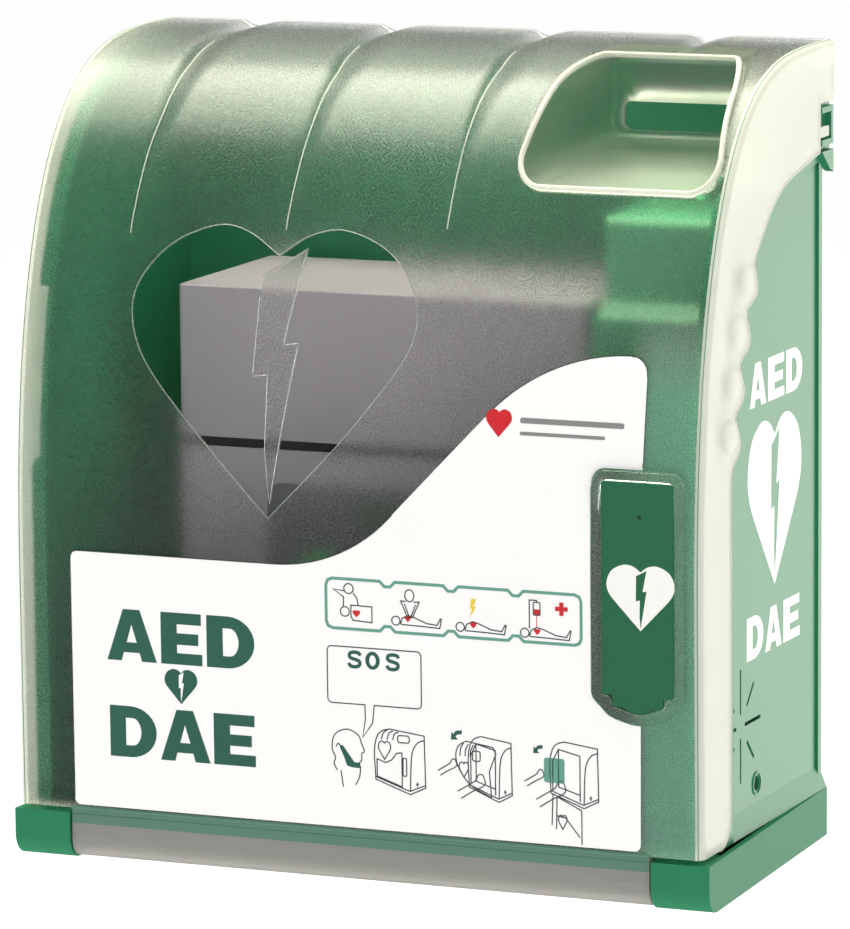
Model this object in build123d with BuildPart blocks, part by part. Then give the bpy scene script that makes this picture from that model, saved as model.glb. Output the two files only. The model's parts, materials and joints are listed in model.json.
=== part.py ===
from build123d import *
import os
from math import cos, pi, sin

os.makedirs("parts", exist_ok=True)

# A wall cabinet with a defibrillator inside. Sizes are in millimetres.
# X runs across, +Y points into the wall and Z points up. The wall is the plane Y = 0.
# The origin is the middle of the four wall screws. The three sketch planes below pass through
# the cabinet's underside, so every height in this file is counted from the underside.

# Driving dimensions
WIDTH = 388.0
DEPTH = 201.0
HEIGHT = 423.0
SCREW_LEVEL = 230.0
SCREW_SPACING_X = 280.0
SCREW_SPACING_Z = 270.0
SCREW_HOLE_RADIUS = 3.0

LEVEL = Plane(origin=(0, 0, -SCREW_LEVEL))
FRONT = Plane(origin=(0, 0, -SCREW_LEVEL), x_dir=(1, 0, 0), z_dir=(0, -1, 0))
SIDE = Plane(origin=(0, 0, -SCREW_LEVEL), x_dir=(0, 1, 0), z_dir=(1, 0, 0))

# Cover
COVER_HALF = 190.5
COVER_FRONT = 199.5
COVER_FOOT_FRONT = 198.3
COVER_WALL = 2.8
COVER_FOOT = 28.5
COVER_BACK = -2.7
SHOULDER = 162.4
TOP_FLAT = 11.2
FRONT_POWER = 3.39
TOP_POWER = 2.2
CURVE_STEPS = 9
CREASE_RADIUS = 4.0
BEAD_FRONT = DEPTH
SHEET = 0.5
SHEET_GAP = 0.15
POCKET_SLOPE = (0, -1, -0.087)
GROOVE_WIDTH = 2.6
GROOVE_DEPTH = 1.3
GROOVE_FOOT = 232.0
GROOVE_PLACES = (-131.0, -45.5, 42.0)
SKIRT_NICKS = ((-120.8, 322.0), (-132.5, 298.0), (-142.6, 272.5), (-149.2, 246.5), (-153.8, 221.0))
SKIRT_LOBES = ((-115.0, 305.0), (-126.0, 281.0), (-134.5, 256.0), (-140.5, 231.0))
MAGNET_X = 157.0
MAGNET_Z = 130.0
MAGNET_BACK = 152.0

# Hinge
HINGE_Y = -190.0
HINGE_Z = 14.0
PIN_RADIUS = 4.0
PIN_PLAY = 0.05
KNUCKLE_INNER = 162.5
BAR_HALF = 161.3
BAR_BOSS_RADIUS = 8.0
BAR_BOSS_LENGTH = 20.0

# Base tray and casing
LEDGE = 25.7
BASE_FRONT = 198.0
BASE_REAR_HALF = 186.5
TRAY_WALL = 3.0
TRAY_FLOOR = 4.0
SLOT_BACK = -174.0
PLATE_INNER = 178.5
PLATE_OUTER = 181.8
BORDER = 187.0
CASING_INSET = 13.0
BACK_WALL = 4.0
PANEL_FRONT = -143.0
FRONT_BORDER = -185.0
FRONT_BORDER_TOP = 209.0
RIM_WIDTH = 5.0
RIM_TOP = 358.0
FLARE_OUTER = 186.3
FLARE_TOP = 37.0
LUG_PLACES = ((-171.5, -20.0), (-171.5, -150.0), (171.5, -20.0), (171.5, -150.0))
KEEPER_OUT = 190.3

# Alarm electronics, at the right inside
BOX_INNER = 111.0
BOX_FRONT = 148.0
BOX_FOOT = 33.0
BOX_STEP = 293.0
BOX_TOP = 343.0
BOX_TOP_INNER = 116.0
BOX_TOP_FRONT = 140.0
BOX_TOP_BACK = -62.0
BOX_WALL = 2.5
SOUNDER_Y = -119.7
SOUNDER_Z = 81.3
RESET_Y = -95.9
RESET_Z = 47.1
GROMMET_X = 150.0
GROMMET_Z = 128.0
GROMMET_BORE = 4.0
LIGHT_X = 157.8
LIGHT_Z = 202.0
BOARD_X = (118.0, 172.0)
BOARD_Z = (150.0, 280.0)
CELL_ROWS = (-19.5, -48.5)
HOUSING_SCREW_LEVELS = (160.0, 250.0)
HOUSING_SCREWS = [(PLATE_INNER - 7.0, z) for z in HOUSING_SCREW_LEVELS]

# Defibrillator
UNIT_LEFT = -124.0
UNIT_RIGHT = 106.0
UNIT_FRONT = -137.0
UNIT_BACK = -19.0
UNIT_FOOT = 46.0
UNIT_TOP = 298.0
SEAM_LOW = 213.5
SEAM_HIGH = 218.5
CASE_WALL = 3.0
SHELF_TOP = 43.0
SHELF_X = (UNIT_LEFT - 4, BOX_INNER - 3)
SHELF_FRONT = -151.0
SHELF_THICK = 4.0
SHELF_LIP = 3.0
PANEL_RECESS = 1.2
POWER_X = -44.0
POWER_Z = 150.0
POWER_RADIUS = 11.0
SHOCK_X = 26.0
SHOCK_Z = 150.0
SHOCK_RADIUS = 15.0
BUTTON_GAP = 0.4
SPEAKER_X = 78.0
SPEAKER_Z = 95.0
PANEL_CENTRE = (-9.0, 140.0)
PANEL_WIDTH = 130.0
PANEL_TALL = 112.0
WINDOW_CENTRE = (-9.0, 183.0)
UNIT_BOARD_FRONT = -126.0
CASE_SCREW_PLACES = ((-112.0, 62.0), (-112.0, 198.0), (94.0, 62.0), (94.0, 198.0))
SHELF_SCREWS = ((-90.0, 60.0), (-9.0, 60.0), (72.0, 60.0))


def block(x, y, z, mode=Mode.ADD):
    """A box between two limits on each axis, with heights from the underside."""
    with Locations((sum(x) / 2, sum(y) / 2, sum(z) / 2)):
        Box(x[1] - x[0], y[1] - y[0], z[1] - z[0], mode=mode)


def rods(plane, centres, radius, length, mode=Mode.ADD):
    """Round bars that start on a plane and run along its normal."""
    with BuildSketch(plane) as section:
        with Locations(*centres):
            Circle(radius)
    extrude(section.sketch, amount=length, mode=mode)


def corners(half_x, half_y, x=0.0, y=0.0):
    """The four corners of a rectangle about a point."""
    return [(x + i * half_x, y + j * half_y) for i in (-1, 1) for j in (-1, 1)]


def cover_outline(inset, foot, back):
    """The cover's side outline, moved inwards: a straight front that turns over into a flat top."""
    front = COVER_FRONT - inset
    top = HEIGHT - inset
    lean = COVER_FRONT - COVER_FOOT_FRONT
    curve = []
    for step in range(CURVE_STEPS + 1):
        angle = pi / 2 * (1 - (1 - step / CURVE_STEPS) ** 2)
        y = -TOP_FLAT - (front - TOP_FLAT) * cos(angle) ** (2 / FRONT_POWER)
        z = SHOULDER + (top - SHOULDER) * sin(angle) ** (2 / TOP_POWER)
        curve.append((y, z))
    low = (-front + lean * (SHOULDER - foot) / (SHOULDER - COVER_FOOT), foot)
    Line(low, curve[0])
    Spline(*curve, tangents=[(0, 1), (1, 0)])
    Line(curve[-1], (back, top))
    Line((back, top), (back, foot))
    Line((back, foot), low)


def sign_outline(grow):
    """A tall rounded tablet with a stepped round bump below, for the sign on the front right."""
    with Locations((156.6, 165.0)):
        RectangleRounded(50.0 + 2 * grow, 120.0 + 2 * grow, 7.0 + grow)
    with Locations((156.6, 112.0)):
        RectangleRounded(39.0 + 2 * grow, 26.0 + 2 * grow, 8.0 + grow)
    with Locations((156.6, 111.5)):
        Ellipse(17.0 + grow, 15.6 + grow)


def label_outline():
    """The printed sheet: a low rectangle whose upper edge climbs to the right in a wave."""
    Line((-155.0, 30.8), (154.0, 30.8))
    RadiusArc((154.0, 30.8), (157.4, 34.2), -3.4)
    Line((157.4, 34.2), (158.9, 272.4))
    RadiusArc((158.9, 272.4), (150.0, 281.3), -8.9)
    crest = JernArc((150.0, 281.3), (-1, 0), 104.0, 46.5)
    hollow = JernArc((-42.0, 165.6), (1, 0), 87.0, 46.5)
    Line(crest @ 1, hollow @ 1)
    Line((-42.0, 165.6), (-155.0, 165.6))
    RadiusArc((-155.0, 165.6), (-158.4, 162.2), -3.4)
    Line((-158.4, 162.2), (-158.4, 34.2))
    RadiusArc((-158.4, 34.2), (-155.0, 30.8), -3.4)


board_corners = corners(22, 60, 145, 215)

# The green rear casing: back wall, side walls with raised borders, keepers and lugs
with BuildPart(LEVEL) as rear_casing:
    block((-PLATE_OUTER, PLATE_OUTER), (-BACK_WALL, 0), (LEDGE, HEIGHT - CASING_INSET))
    for hand in (-1, 1):
        with BuildSketch(SIDE.offset(hand * PLATE_INNER)):
            with BuildLine():
                cover_outline(CASING_INSET, LEDGE, 0)
            make_face()
        extrude(amount=hand * (PLATE_OUTER - PLATE_INNER))
        # Upper border, under the cover's skirt, down to a concave edge
        with BuildSketch(SIDE.offset(hand * PLATE_OUTER)):
            with BuildLine():
                cover_outline(CASING_INSET, LEDGE, 0)
            make_face()
            with BuildLine():
                Line((1, 361), (-15, 360.5))
                Line((-15, 360.5), (-57, 354.5))
                ThreePointArc((-57, 354.5), (-86, 343), (-108, 322))
                Line((-108, 322), (-200, 288))
                Line((-200, 288), (-200, 0))
                Line((-200, 0), (1, 0))
                Line((1, 0), (1, 361))
            make_face(mode=Mode.SUBTRACT)
        extrude(amount=hand * (BORDER - PLATE_OUTER))
        # Rear rim, front border beside the panel, foot slope
        with BuildSketch(SIDE.offset(hand * PLATE_OUTER)):
            with Locations((-RIM_WIDTH / 2, (LEDGE + RIM_TOP) / 2)):
                Rectangle(RIM_WIDTH, RIM_TOP - LEDGE)
        extrude(amount=hand * 1.4)
        with BuildSketch(SIDE.offset(hand * PLATE_OUTER)):
            with Locations(((PANEL_FRONT + FRONT_BORDER) / 2, (LEDGE + FRONT_BORDER_TOP) / 2)):
                RectangleRounded(PANEL_FRONT - FRONT_BORDER, FRONT_BORDER_TOP - LEDGE, 6.0)
            with Locations(((PANEL_FRONT + FRONT_BORDER) / 2, LEDGE + 15.0)):
                Rectangle(PANEL_FRONT - FRONT_BORDER, 30.0)
        extrude(amount=hand * (BORDER - 0.5 - PLATE_OUTER))
        with BuildSketch(FRONT):
            Polygon((hand * PLATE_OUTER, LEDGE), (hand * FLARE_OUTER, LEDGE),
                    (hand * PLATE_OUTER, FLARE_TOP), align=None)
        extrude(amount=-PANEL_FRONT)
        # Latch keeper, open towards the front, and the wedge below it
        with BuildSketch(SIDE.offset(hand * (BORDER - 1))):
            with Locations((-11.5, 379)):
                Rectangle(17, 20)
            with Locations((-13, 379)):
                Rectangle(14, 14, mode=Mode.SUBTRACT)
            Polygon((-20, 366), (-2.5, 366), (-2.5, 354), (-8, 356), align=None)
        extrude(amount=hand * (KEEPER_OUT - BORDER + 1))
    # Room for the cover's handle pocket in the right side wall
    with BuildSketch(SIDE.offset(PLATE_INNER - 1)):
        Polygon((-31, 367.5), (-200, 352.5), (-200, 430), (-31, 430), align=None)
    extrude(amount=12, mode=Mode.SUBTRACT)
    # Screw lugs at the foot, wall screw bosses and the grommet hole
    for x, y in LUG_PLACES:
        block((x - 7.5, x + 7.5), (y - 7, y + 7), (TRAY_FLOOR, 31))
    rods(LEVEL.offset(TRAY_FLOOR), LUG_PLACES, 2.0, 16, Mode.SUBTRACT)
    wall_holes = corners(SCREW_SPACING_X / 2, SCREW_SPACING_Z / 2, 0, SCREW_LEVEL)
    rods(FRONT.offset(BACK_WALL), wall_holes, 9.0, 8)
    rods(FRONT, wall_holes, SCREW_HOLE_RADIUS, 14, Mode.SUBTRACT)
    rods(FRONT, [(GROMMET_X, GROMMET_Z)], 8.0, 6, Mode.SUBTRACT)
    # Star of sounder slots and the reset hole in the right side
    with BuildSketch(SIDE.offset(PLATE_INNER)):
        with Locations((SOUNDER_Y, SOUNDER_Z)):
            with PolarLocations(18, 4):
                SlotOverall(24, 2)
            with PolarLocations(20.5, 4, start_angle=45):
                SlotOverall(15, 2)
    extrude(amount=PLATE_OUTER - PLATE_INNER, mode=Mode.SUBTRACT)
    with BuildSketch(SIDE.offset(PLATE_OUTER)):
        with Locations((RESET_Y, RESET_Z)):
            Circle(6.2)
            Circle(5.2, mode=Mode.SUBTRACT)
    extrude(amount=0.6)
    rods(SIDE.offset(PLATE_INNER), [(RESET_Y, RESET_Z)], 4.0, 5, Mode.SUBTRACT)
rear_casing.part.label = "rear_casing"
export_step(rear_casing.part, "parts/rear_casing.step")

# The green tray under the casing: wider at the front, with a knuckle at each front corner
with BuildPart(LEVEL) as base_tray:
    with BuildSketch(LEVEL):
        Polygon((-BASE_REAR_HALF, 0), (BASE_REAR_HALF, 0),
                (WIDTH / 2, -BASE_FRONT), (-WIDTH / 2, -BASE_FRONT), align=None)
    extrude(amount=LEDGE)
    fillet(base_tray.edges().filter_by(Axis.X).group_by(Axis.Y)[0].sort_by(Axis.Z)[0], 12)
    with BuildSketch(LEVEL.offset(TRAY_FLOOR)):
        Polygon((-BASE_REAR_HALF + TRAY_WALL, -TRAY_WALL), (BASE_REAR_HALF - TRAY_WALL, -TRAY_WALL),
                (WIDTH / 2 - 4, SLOT_BACK + TRAY_WALL), (-WIDTH / 2 + 4, SLOT_BACK + TRAY_WALL), align=None)
    extrude(amount=LEDGE, mode=Mode.SUBTRACT)
    block((-KNUCKLE_INNER, KNUCKLE_INNER), (-220, SLOT_BACK), (-1, LEDGE + 1), Mode.SUBTRACT)
    rods(SIDE.offset(-182), [(HINGE_Y, HINGE_Z)], PIN_RADIUS, 364, Mode.SUBTRACT)
    rods(LEVEL, LUG_PLACES, 2.3, 10, Mode.SUBTRACT)
    rods(LEVEL, LUG_PLACES, 5.0, 2.2, Mode.SUBTRACT)
base_tray.part.label = "base_tray"
export_step(base_tray.part, "parts/base_tray.step")

with BuildPart(LEVEL) as base_screws:
    rods(LEVEL.offset(0.2), LUG_PLACES, 4.5, 2.0)
    rods(LEVEL.offset(2.2), LUG_PLACES, 2.0, 14)
    with BuildSketch(LEVEL.offset(0.2)):
        with Locations(*LUG_PLACES):
            RegularPolygon(1.7, 6)
    extrude(amount=1.2, mode=Mode.SUBTRACT)
base_screws.part.label = "base_screws"
export_step(base_screws.part, "parts/base_screws.step")

with BuildPart(LEVEL) as hinge_pins:
    rods(SIDE.offset(145), [(HINGE_Y, HINGE_Z)], PIN_RADIUS, 37)
    rods(SIDE.offset(-182), [(HINGE_Y, HINGE_Z)], PIN_RADIUS, 37)
hinge_pins.part.label = "hinge_pins"
export_step(hinge_pins.part, "parts/hinge_pins.step")

# The cover: solid bodies of its hollow and of its handle pocket, then the moulding itself
with BuildPart() as pocket_block:
    with BuildSketch(FRONT.offset(33)):
        Polygon((73, 369), (190, 369), (190, 434), (81, 434), align=None)
    extrude(amount=190, dir=POCKET_SLOPE)

with BuildPart() as cover_hollow:
    with BuildSketch(SIDE):
        with BuildLine():
            cover_outline(COVER_WALL, COVER_FOOT - 2, 2)
        make_face()
    extrude(amount=COVER_HALF - COVER_WALL, both=True)
    add(pocket_block.part, mode=Mode.SUBTRACT)

with BuildPart() as cover_shell:
    with BuildSketch(SIDE):
        with BuildLine():
            cover_outline(0, COVER_FOOT, COVER_BACK)
        make_face()
    extrude(amount=COVER_HALF, both=True)
    for hand in (-1, 1):
        side = hand * COVER_HALF
        rim = cover_shell.edges().filter_by_position(Axis.X, side - 0.1, side + 0.1)
        rim = rim.filter_by(lambda edge: edge.center().Y < COVER_BACK - 1)
        rim = rim.filter_by(lambda edge: edge.center().Z > COVER_FOOT - SCREW_LEVEL + 1)
        fillet(rim, CREASE_RADIUS)
    add(cover_hollow.part, mode=Mode.SUBTRACT)
    # Handle pocket, open to the front, with a window in its back wall
    with BuildSketch(FRONT.offset(35.5)) as pocket_mouth:
        Polygon((76, 372), (184.5, 372), (172.5, 419.5), (83, 419.5), align=None)
        fillet(pocket_mouth.vertices(), 11)
    extrude(amount=180, dir=POCKET_SLOPE, mode=Mode.SUBTRACT)
    with BuildSketch(FRONT.offset(30)):
        with Locations((131, 382)):
            RectangleRounded(98, 17, 4)
    extrude(amount=8, mode=Mode.SUBTRACT)
    # Skirts: each side is cut away behind four finger lobes and below the concave edge
    for hand in (-1, 1):
        with BuildSketch(SIDE.offset(hand * (COVER_HALF - COVER_WALL - 0.7))):
            with BuildLine():
                Line((5, 391.5), (-23, 391.5))
                Line((-23, 391.5), (-23, 366.5))
                Line((-23, 366.5), (-60, 360))
                ThreePointArc((-60, 360), (-95, 347), SKIRT_NICKS[0])
                for upper, lobe, lower in zip(SKIRT_NICKS, SKIRT_LOBES, SKIRT_NICKS[1:]):
                    ThreePointArc(upper, lobe, lower)
                Line(SKIRT_NICKS[-1], (-157, 212))
                Line((-157, 212), (-157, COVER_FOOT + 12))
                RadiusArc((-157, COVER_FOOT + 12), (-169, COVER_FOOT), 12)
                Line((-169, COVER_FOOT), (-169, COVER_FOOT - 5))
                Line((-169, COVER_FOOT - 5), (5, COVER_FOOT - 5))
                Line((5, COVER_FOOT - 5), (5, 391.5))
            make_face()
        extrude(amount=hand * 6, mode=Mode.SUBTRACT)
    # Latch tabs behind the skirts' edges
    for hand in (-1, 1):
        with BuildSketch(SIDE.offset(hand * (COVER_HALF - COVER_WALL))):
            with Locations((-17, 376.2)):
                Rectangle(16, 5.4)
        extrude(amount=hand * (COVER_WALL - 0.3))
    # Shallow grooves over the shoulder
    for place in GROOVE_PLACES:
        with BuildSketch(SIDE.offset(place)):
            with BuildLine():
                cover_outline(-1, COVER_FOOT, COVER_BACK - 8)
            make_face()
            with BuildLine():
                cover_outline(GROOVE_DEPTH, COVER_FOOT, COVER_BACK - 8)
            make_face(mode=Mode.SUBTRACT)
            with Locations((-DEPTH / 2, GROOVE_FOOT / 2)):
                Rectangle(DEPTH + 10, GROOVE_FOOT, mode=Mode.SUBTRACT)
        extrude(amount=GROOVE_WIDTH, mode=Mode.SUBTRACT)
    # Hinge bar between the knuckles: a thin channel with an end plate and a boss at each end
    with BuildSketch(SIDE.offset(-BAR_HALF)):
        with BuildLine():
            Line((-200, COVER_FOOT), (-197, COVER_FOOT))
            Line((-197, COVER_FOOT), (-197, 11.2))
            RadiusArc((-197, 11.2), (-187, 1.2), -10)
            Line((-187, 1.2), (-182.4, 1.2))
            Line((-182.4, 1.2), (-182.4, 3.7))
            Line((-182.4, 3.7), (-187, 3.7))
            RadiusArc((-187, 3.7), (-194.5, 11.2), 7.5)
            Line((-194.5, 11.2), (-194.5, 30))
            Line((-194.5, 30), (-198.3, 30))
            Line((-198.3, 30), (-200, COVER_FOOT))
        make_face()
    extrude(amount=2 * BAR_HALF)
    for start in (-BAR_HALF, BAR_HALF - 2.5):
        with BuildSketch(SIDE.offset(start)):
            with BuildLine():
                Line((-197, COVER_FOOT), (-197, 11.2))
                RadiusArc((-197, 11.2), (-187, 1.2), -10)
                Line((-187, 1.2), (-182.4, 1.2))
                Line((-182.4, 1.2), (-182.4, 16))
                RadiusArc((-182.4, 16), (-190, 24), 9)
                Line((-190, 24), (-194.5, COVER_FOOT))
                Line((-194.5, COVER_FOOT), (-197, COVER_FOOT))
            make_face()
        extrude(amount=2.5)
    for start in (-BAR_HALF, BAR_HALF - BAR_BOSS_LENGTH):
        rods(SIDE.offset(start), [(HINGE_Y, HINGE_Z)], BAR_BOSS_RADIUS, BAR_BOSS_LENGTH)
    for start in (-BAR_HALF - 1, BAR_HALF - BAR_BOSS_LENGTH - 1):
        bore = PIN_RADIUS + PIN_PLAY
        rods(SIDE.offset(start), [(HINGE_Y, HINGE_Z)], bore, BAR_BOSS_LENGTH + 2, Mode.SUBTRACT)
    # Post for the magnet, and the proud bead around the sign
    rods(FRONT.offset(MAGNET_BACK), [(MAGNET_X, MAGNET_Z)], 7.5, COVER_FRONT - 1 - MAGNET_BACK)
    rods(FRONT.offset(MAGNET_BACK), [(MAGNET_X, MAGNET_Z)], 6.0, 5, Mode.SUBTRACT)
    with BuildSketch(FRONT.offset(196.6)):
        sign_outline(0)
    extrude(amount=BEAD_FRONT - 196.6)
    with BuildSketch(FRONT.offset(199.2)):
        sign_outline(-5.5)
    extrude(amount=3, mode=Mode.SUBTRACT)
cover_shell.part.label = "cover_shell"
export_step(cover_shell.part, "parts/cover_shell.step")

with BuildPart(LEVEL) as sign_panel:
    with BuildSketch(FRONT.offset(199.2)):
        sign_outline(-5.8)
        with Locations((157.8, 202)):
            Circle(1.3, mode=Mode.SUBTRACT)
    extrude(amount=0.9)
sign_panel.part.label = "sign_panel"
export_step(sign_panel.part, "parts/sign_panel.step")

# The printed sheet: the outline pressed through a thin skin over the cover's front
with BuildPart(LEVEL) as instruction_label:
    with BuildSketch(SIDE):
        with BuildLine():
            cover_outline(-SHEET - SHEET_GAP, COVER_FOOT, COVER_BACK)
        make_face()
        with BuildLine():
            cover_outline(-SHEET_GAP, COVER_FOOT, COVER_BACK)
        make_face(mode=Mode.SUBTRACT)
    extrude(amount=COVER_HALF, both=True)
    with BuildSketch(FRONT.offset(160)):
        with BuildLine():
            label_outline()
        make_face()
    extrude(amount=60, mode=Mode.INTERSECT)
    with BuildSketch(FRONT.offset(160)):
        sign_outline(0.4)
    extrude(amount=60, mode=Mode.SUBTRACT)
instruction_label.part.label = "instruction_label"
export_step(instruction_label.part, "parts/instruction_label.step")

with BuildPart(LEVEL) as cover_magnet:
    rods(FRONT.offset(MAGNET_BACK), [(MAGNET_X, MAGNET_Z)], 6.0, 5)
cover_magnet.part.label = "cover_magnet"
export_step(cover_magnet.part, "parts/cover_magnet.step")

# Alarm electronics: a box closed by the casing's side and back walls
with BuildPart(LEVEL) as electronics_housing:
    block((BOX_INNER, PLATE_INNER), (-BOX_FRONT, -BACK_WALL), (BOX_FOOT, BOX_STEP))
    block((BOX_TOP_INNER, PLATE_INNER), (-BOX_TOP_FRONT, BOX_TOP_BACK), (BOX_STEP, BOX_TOP))
    upright = electronics_housing.edges().filter_by(Axis.Z)
    lower_edge = upright.group_by(Axis.Y)[0].sort_by(Axis.X)[0]
    upper_edge = upright.filter_by_position(Axis.Y, -BOX_TOP_FRONT - 1, 1 - BOX_TOP_FRONT).sort_by(Axis.X)[0]
    top_edge = electronics_housing.edges().filter_by(Axis.X).group_by(Axis.Z)[-1].sort_by(Axis.Y)[0]
    fillet([lower_edge, upper_edge, top_edge], 4)
    # The upper part stands back behind a sloping ledge
    step_back = BOX_FRONT - BOX_TOP_FRONT
    with BuildSketch(SIDE.offset(BOX_TOP_INNER)):
        Polygon((-BOX_FRONT, BOX_STEP), (0.5 - BOX_TOP_FRONT, BOX_STEP),
                (0.5 - BOX_TOP_FRONT, BOX_STEP + step_back + 0.5), align=None)
    extrude(amount=PLATE_INNER - BOX_TOP_INNER)
    inside_front = BOX_WALL - BOX_FRONT
    block((BOX_INNER + BOX_WALL, PLATE_INNER + 1), (inside_front, 0),
          (BOX_FOOT + BOX_WALL, BOX_STEP - BOX_WALL), Mode.SUBTRACT)
    block((BOX_TOP_INNER + BOX_WALL, PLATE_INNER + 1), (BOX_WALL - BOX_TOP_FRONT, BOX_TOP_BACK - BOX_WALL),
          (BOX_STEP - BOX_WALL - 1, BOX_TOP - BOX_WALL), Mode.SUBTRACT)
    # Screw pads on the front, a hole for the light
    for z in HOUSING_SCREW_LEVELS:
        block((PLATE_INNER - 14, PLATE_INNER), (inside_front, -BOX_FRONT + 12), (z - 6, z + 6))
    rods(FRONT.offset(BOX_FRONT - 14), HOUSING_SCREWS, 1.6, 20, Mode.SUBTRACT)
    rods(FRONT.offset(BOX_FRONT - 5), [(LIGHT_X, LIGHT_Z)], 3.0, 8, Mode.SUBTRACT)
electronics_housing.part.label = "electronics_housing"
export_step(electronics_housing.part, "parts/electronics_housing.step")

with BuildPart(LEVEL) as housing_screws:
    rods(FRONT.offset(BOX_FRONT), HOUSING_SCREWS, 3.2, 1.8)
    rods(FRONT.offset(BOX_FRONT - 10), HOUSING_SCREWS, 1.6, 10)
housing_screws.part.label = "housing_screws"
export_step(housing_screws.part, "parts/housing_screws.step")

with BuildPart(LEVEL) as status_light:
    rods(FRONT.offset(BOX_FRONT - 5), [(LIGHT_X, LIGHT_Z)], 3.0, 6)
    rods(FRONT.offset(BOX_FRONT - 8), [(LIGHT_X, LIGHT_Z)], 4.2, 3)
    fillet(status_light.edges().group_by(Axis.Y)[0], 1.2)
status_light.part.label = "status_light"
export_step(status_light.part, "parts/status_light.step")

with BuildPart(LEVEL) as control_board:
    block(BOARD_X, (-16.6, -15), BOARD_Z)
    rods(FRONT.offset(14), board_corners, 1.6, 4, Mode.SUBTRACT)
    block((124, 140), (-22, -16.6), (230, 262))
    block((148, 166), (-28, -16.6), (236, 258))
    block((124, 136), (-20, -16.6), (180, 192))
    block((146, 158), (-20, -16.6), (184, 196))
control_board.part.label = "control_board"
export_step(control_board.part, "parts/control_board.step")

with BuildPart(LEVEL) as board_standoffs:
    rods(FRONT.offset(BACK_WALL), board_corners, 3.2, 11)
    rods(FRONT.offset(15), board_corners, 1.6, 2.6)
    rods(FRONT.offset(16.6), board_corners, 2.8, 1.4)
board_standoffs.part.label = "board_standoffs"
export_step(board_standoffs.part, "parts/board_standoffs.step")

with BuildPart(LEVEL) as cell_holder:
    block((114, 174), (-64, -BACK_WALL), (BOX_FOOT + BOX_WALL, 66))
    for y in CELL_ROWS:
        rods(SIDE.offset(117), [(y, 50.5)], 13.4, 54, Mode.SUBTRACT)
        block((117, 171), (y - 13.4, y + 13.4), (50.5, 70), Mode.SUBTRACT)
cell_holder.part.label = "cell_holder"
export_step(cell_holder.part, "parts/cell_holder.step")

with BuildPart(LEVEL) as backup_cells:
    for y in CELL_ROWS:
        rods(SIDE.offset(119), [(y, 50.5)], 13.1, 48.5)
        rods(SIDE.offset(167.5), [(y, 50.5)], 3.2, 1.6)
backup_cells.part.label = "backup_cells"
export_step(backup_cells.part, "parts/backup_cells.step")

with BuildPart(LEVEL) as sounder:
    rods(SIDE.offset(158), [(SOUNDER_Y, SOUNDER_Z)], 21, PLATE_INNER - 158)
    fillet(sounder.edges().group_by(Axis.X)[0], 2)
    rods(SIDE.offset(PLATE_INNER - 3), [(SOUNDER_Y, SOUNDER_Z)], 17, 4, Mode.SUBTRACT)
    rods(SIDE.offset(PLATE_INNER - 4), [(SOUNDER_Y, SOUNDER_Z)], 5, 3)
sounder.part.label = "sounder"
export_step(sounder.part, "parts/sounder.step")

with BuildPart(LEVEL) as reed_switch:
    switch_front = BOX_WALL - BOX_FRONT
    block((MAGNET_X - 10, MAGNET_X + 10), (switch_front, switch_front + 6), (MAGNET_Z - 4, MAGNET_Z + 4))
reed_switch.part.label = "reed_switch"
export_step(reed_switch.part, "parts/reed_switch.step")

with BuildPart(LEVEL) as reset_button:
    rods(SIDE.offset(174.5), [(RESET_Y, RESET_Z)], 3.7, 6)
    rods(SIDE.offset(176.0), [(RESET_Y, RESET_Z)], 5.5, 2)
    fillet(reset_button.edges().group_by(Axis.X)[-1], 0.8)
reset_button.part.label = "reset_button"
export_step(reset_button.part, "parts/reset_button.step")

with BuildPart(LEVEL) as reset_switch:
    block((162, 169), (RESET_Y - 6, RESET_Y + 6), (BOX_FOOT + BOX_WALL, RESET_Z + 6))
    rods(SIDE.offset(169), [(RESET_Y, RESET_Z)], 3, 3.9)
reset_switch.part.label = "reset_switch"
export_step(reset_switch.part, "parts/reset_switch.step")

with BuildPart(LEVEL) as cable_grommet:
    rods(FRONT, [(GROMMET_X, GROMMET_Z)], 8.0, BACK_WALL)
    rods(FRONT.offset(BACK_WALL), [(GROMMET_X, GROMMET_Z)], 11.0, 3)
    fillet(cable_grommet.edges().group_by(Axis.Y)[0], 1)
    rods(FRONT.offset(-1), [(GROMMET_X, GROMMET_Z)], GROMMET_BORE, 10, Mode.SUBTRACT)
cable_grommet.part.label = "cable_grommet"
export_step(cable_grommet.part, "parts/cable_grommet.step")

# Shelf under the defibrillator, screwed to the back wall
with BuildPart(LEVEL) as unit_shelf:
    underside = SHELF_TOP - SHELF_THICK
    block(SHELF_X, (SHELF_FRONT, -BACK_WALL), (underside, SHELF_TOP))
    block(SHELF_X, (SHELF_FRONT, SHELF_FRONT + SHELF_LIP), (SHELF_TOP, SHELF_TOP + 9))
    block(SHELF_X, (-BACK_WALL - SHELF_LIP, -BACK_WALL), (SHELF_TOP, SHELF_TOP + 26))
    for x in (-110, -9, 92):
        with BuildSketch(SIDE.offset(x - SHELF_THICK / 2)):
            Polygon((-BACK_WALL, underside - 10), (-BACK_WALL, underside), (-60, underside), align=None)
        extrude(amount=SHELF_THICK)
    rods(FRONT, SHELF_SCREWS, 2.0, 12, Mode.SUBTRACT)
unit_shelf.part.label = "unit_shelf"
export_step(unit_shelf.part, "parts/unit_shelf.step")

with BuildPart(LEVEL) as shelf_screws:
    rods(FRONT.offset(BACK_WALL), SHELF_SCREWS, 2.0, 3)
    rods(FRONT.offset(7), SHELF_SCREWS, 4.0, 2)
shelf_screws.part.label = "shelf_screws"
export_step(shelf_screws.part, "parts/shelf_screws.step")

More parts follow.
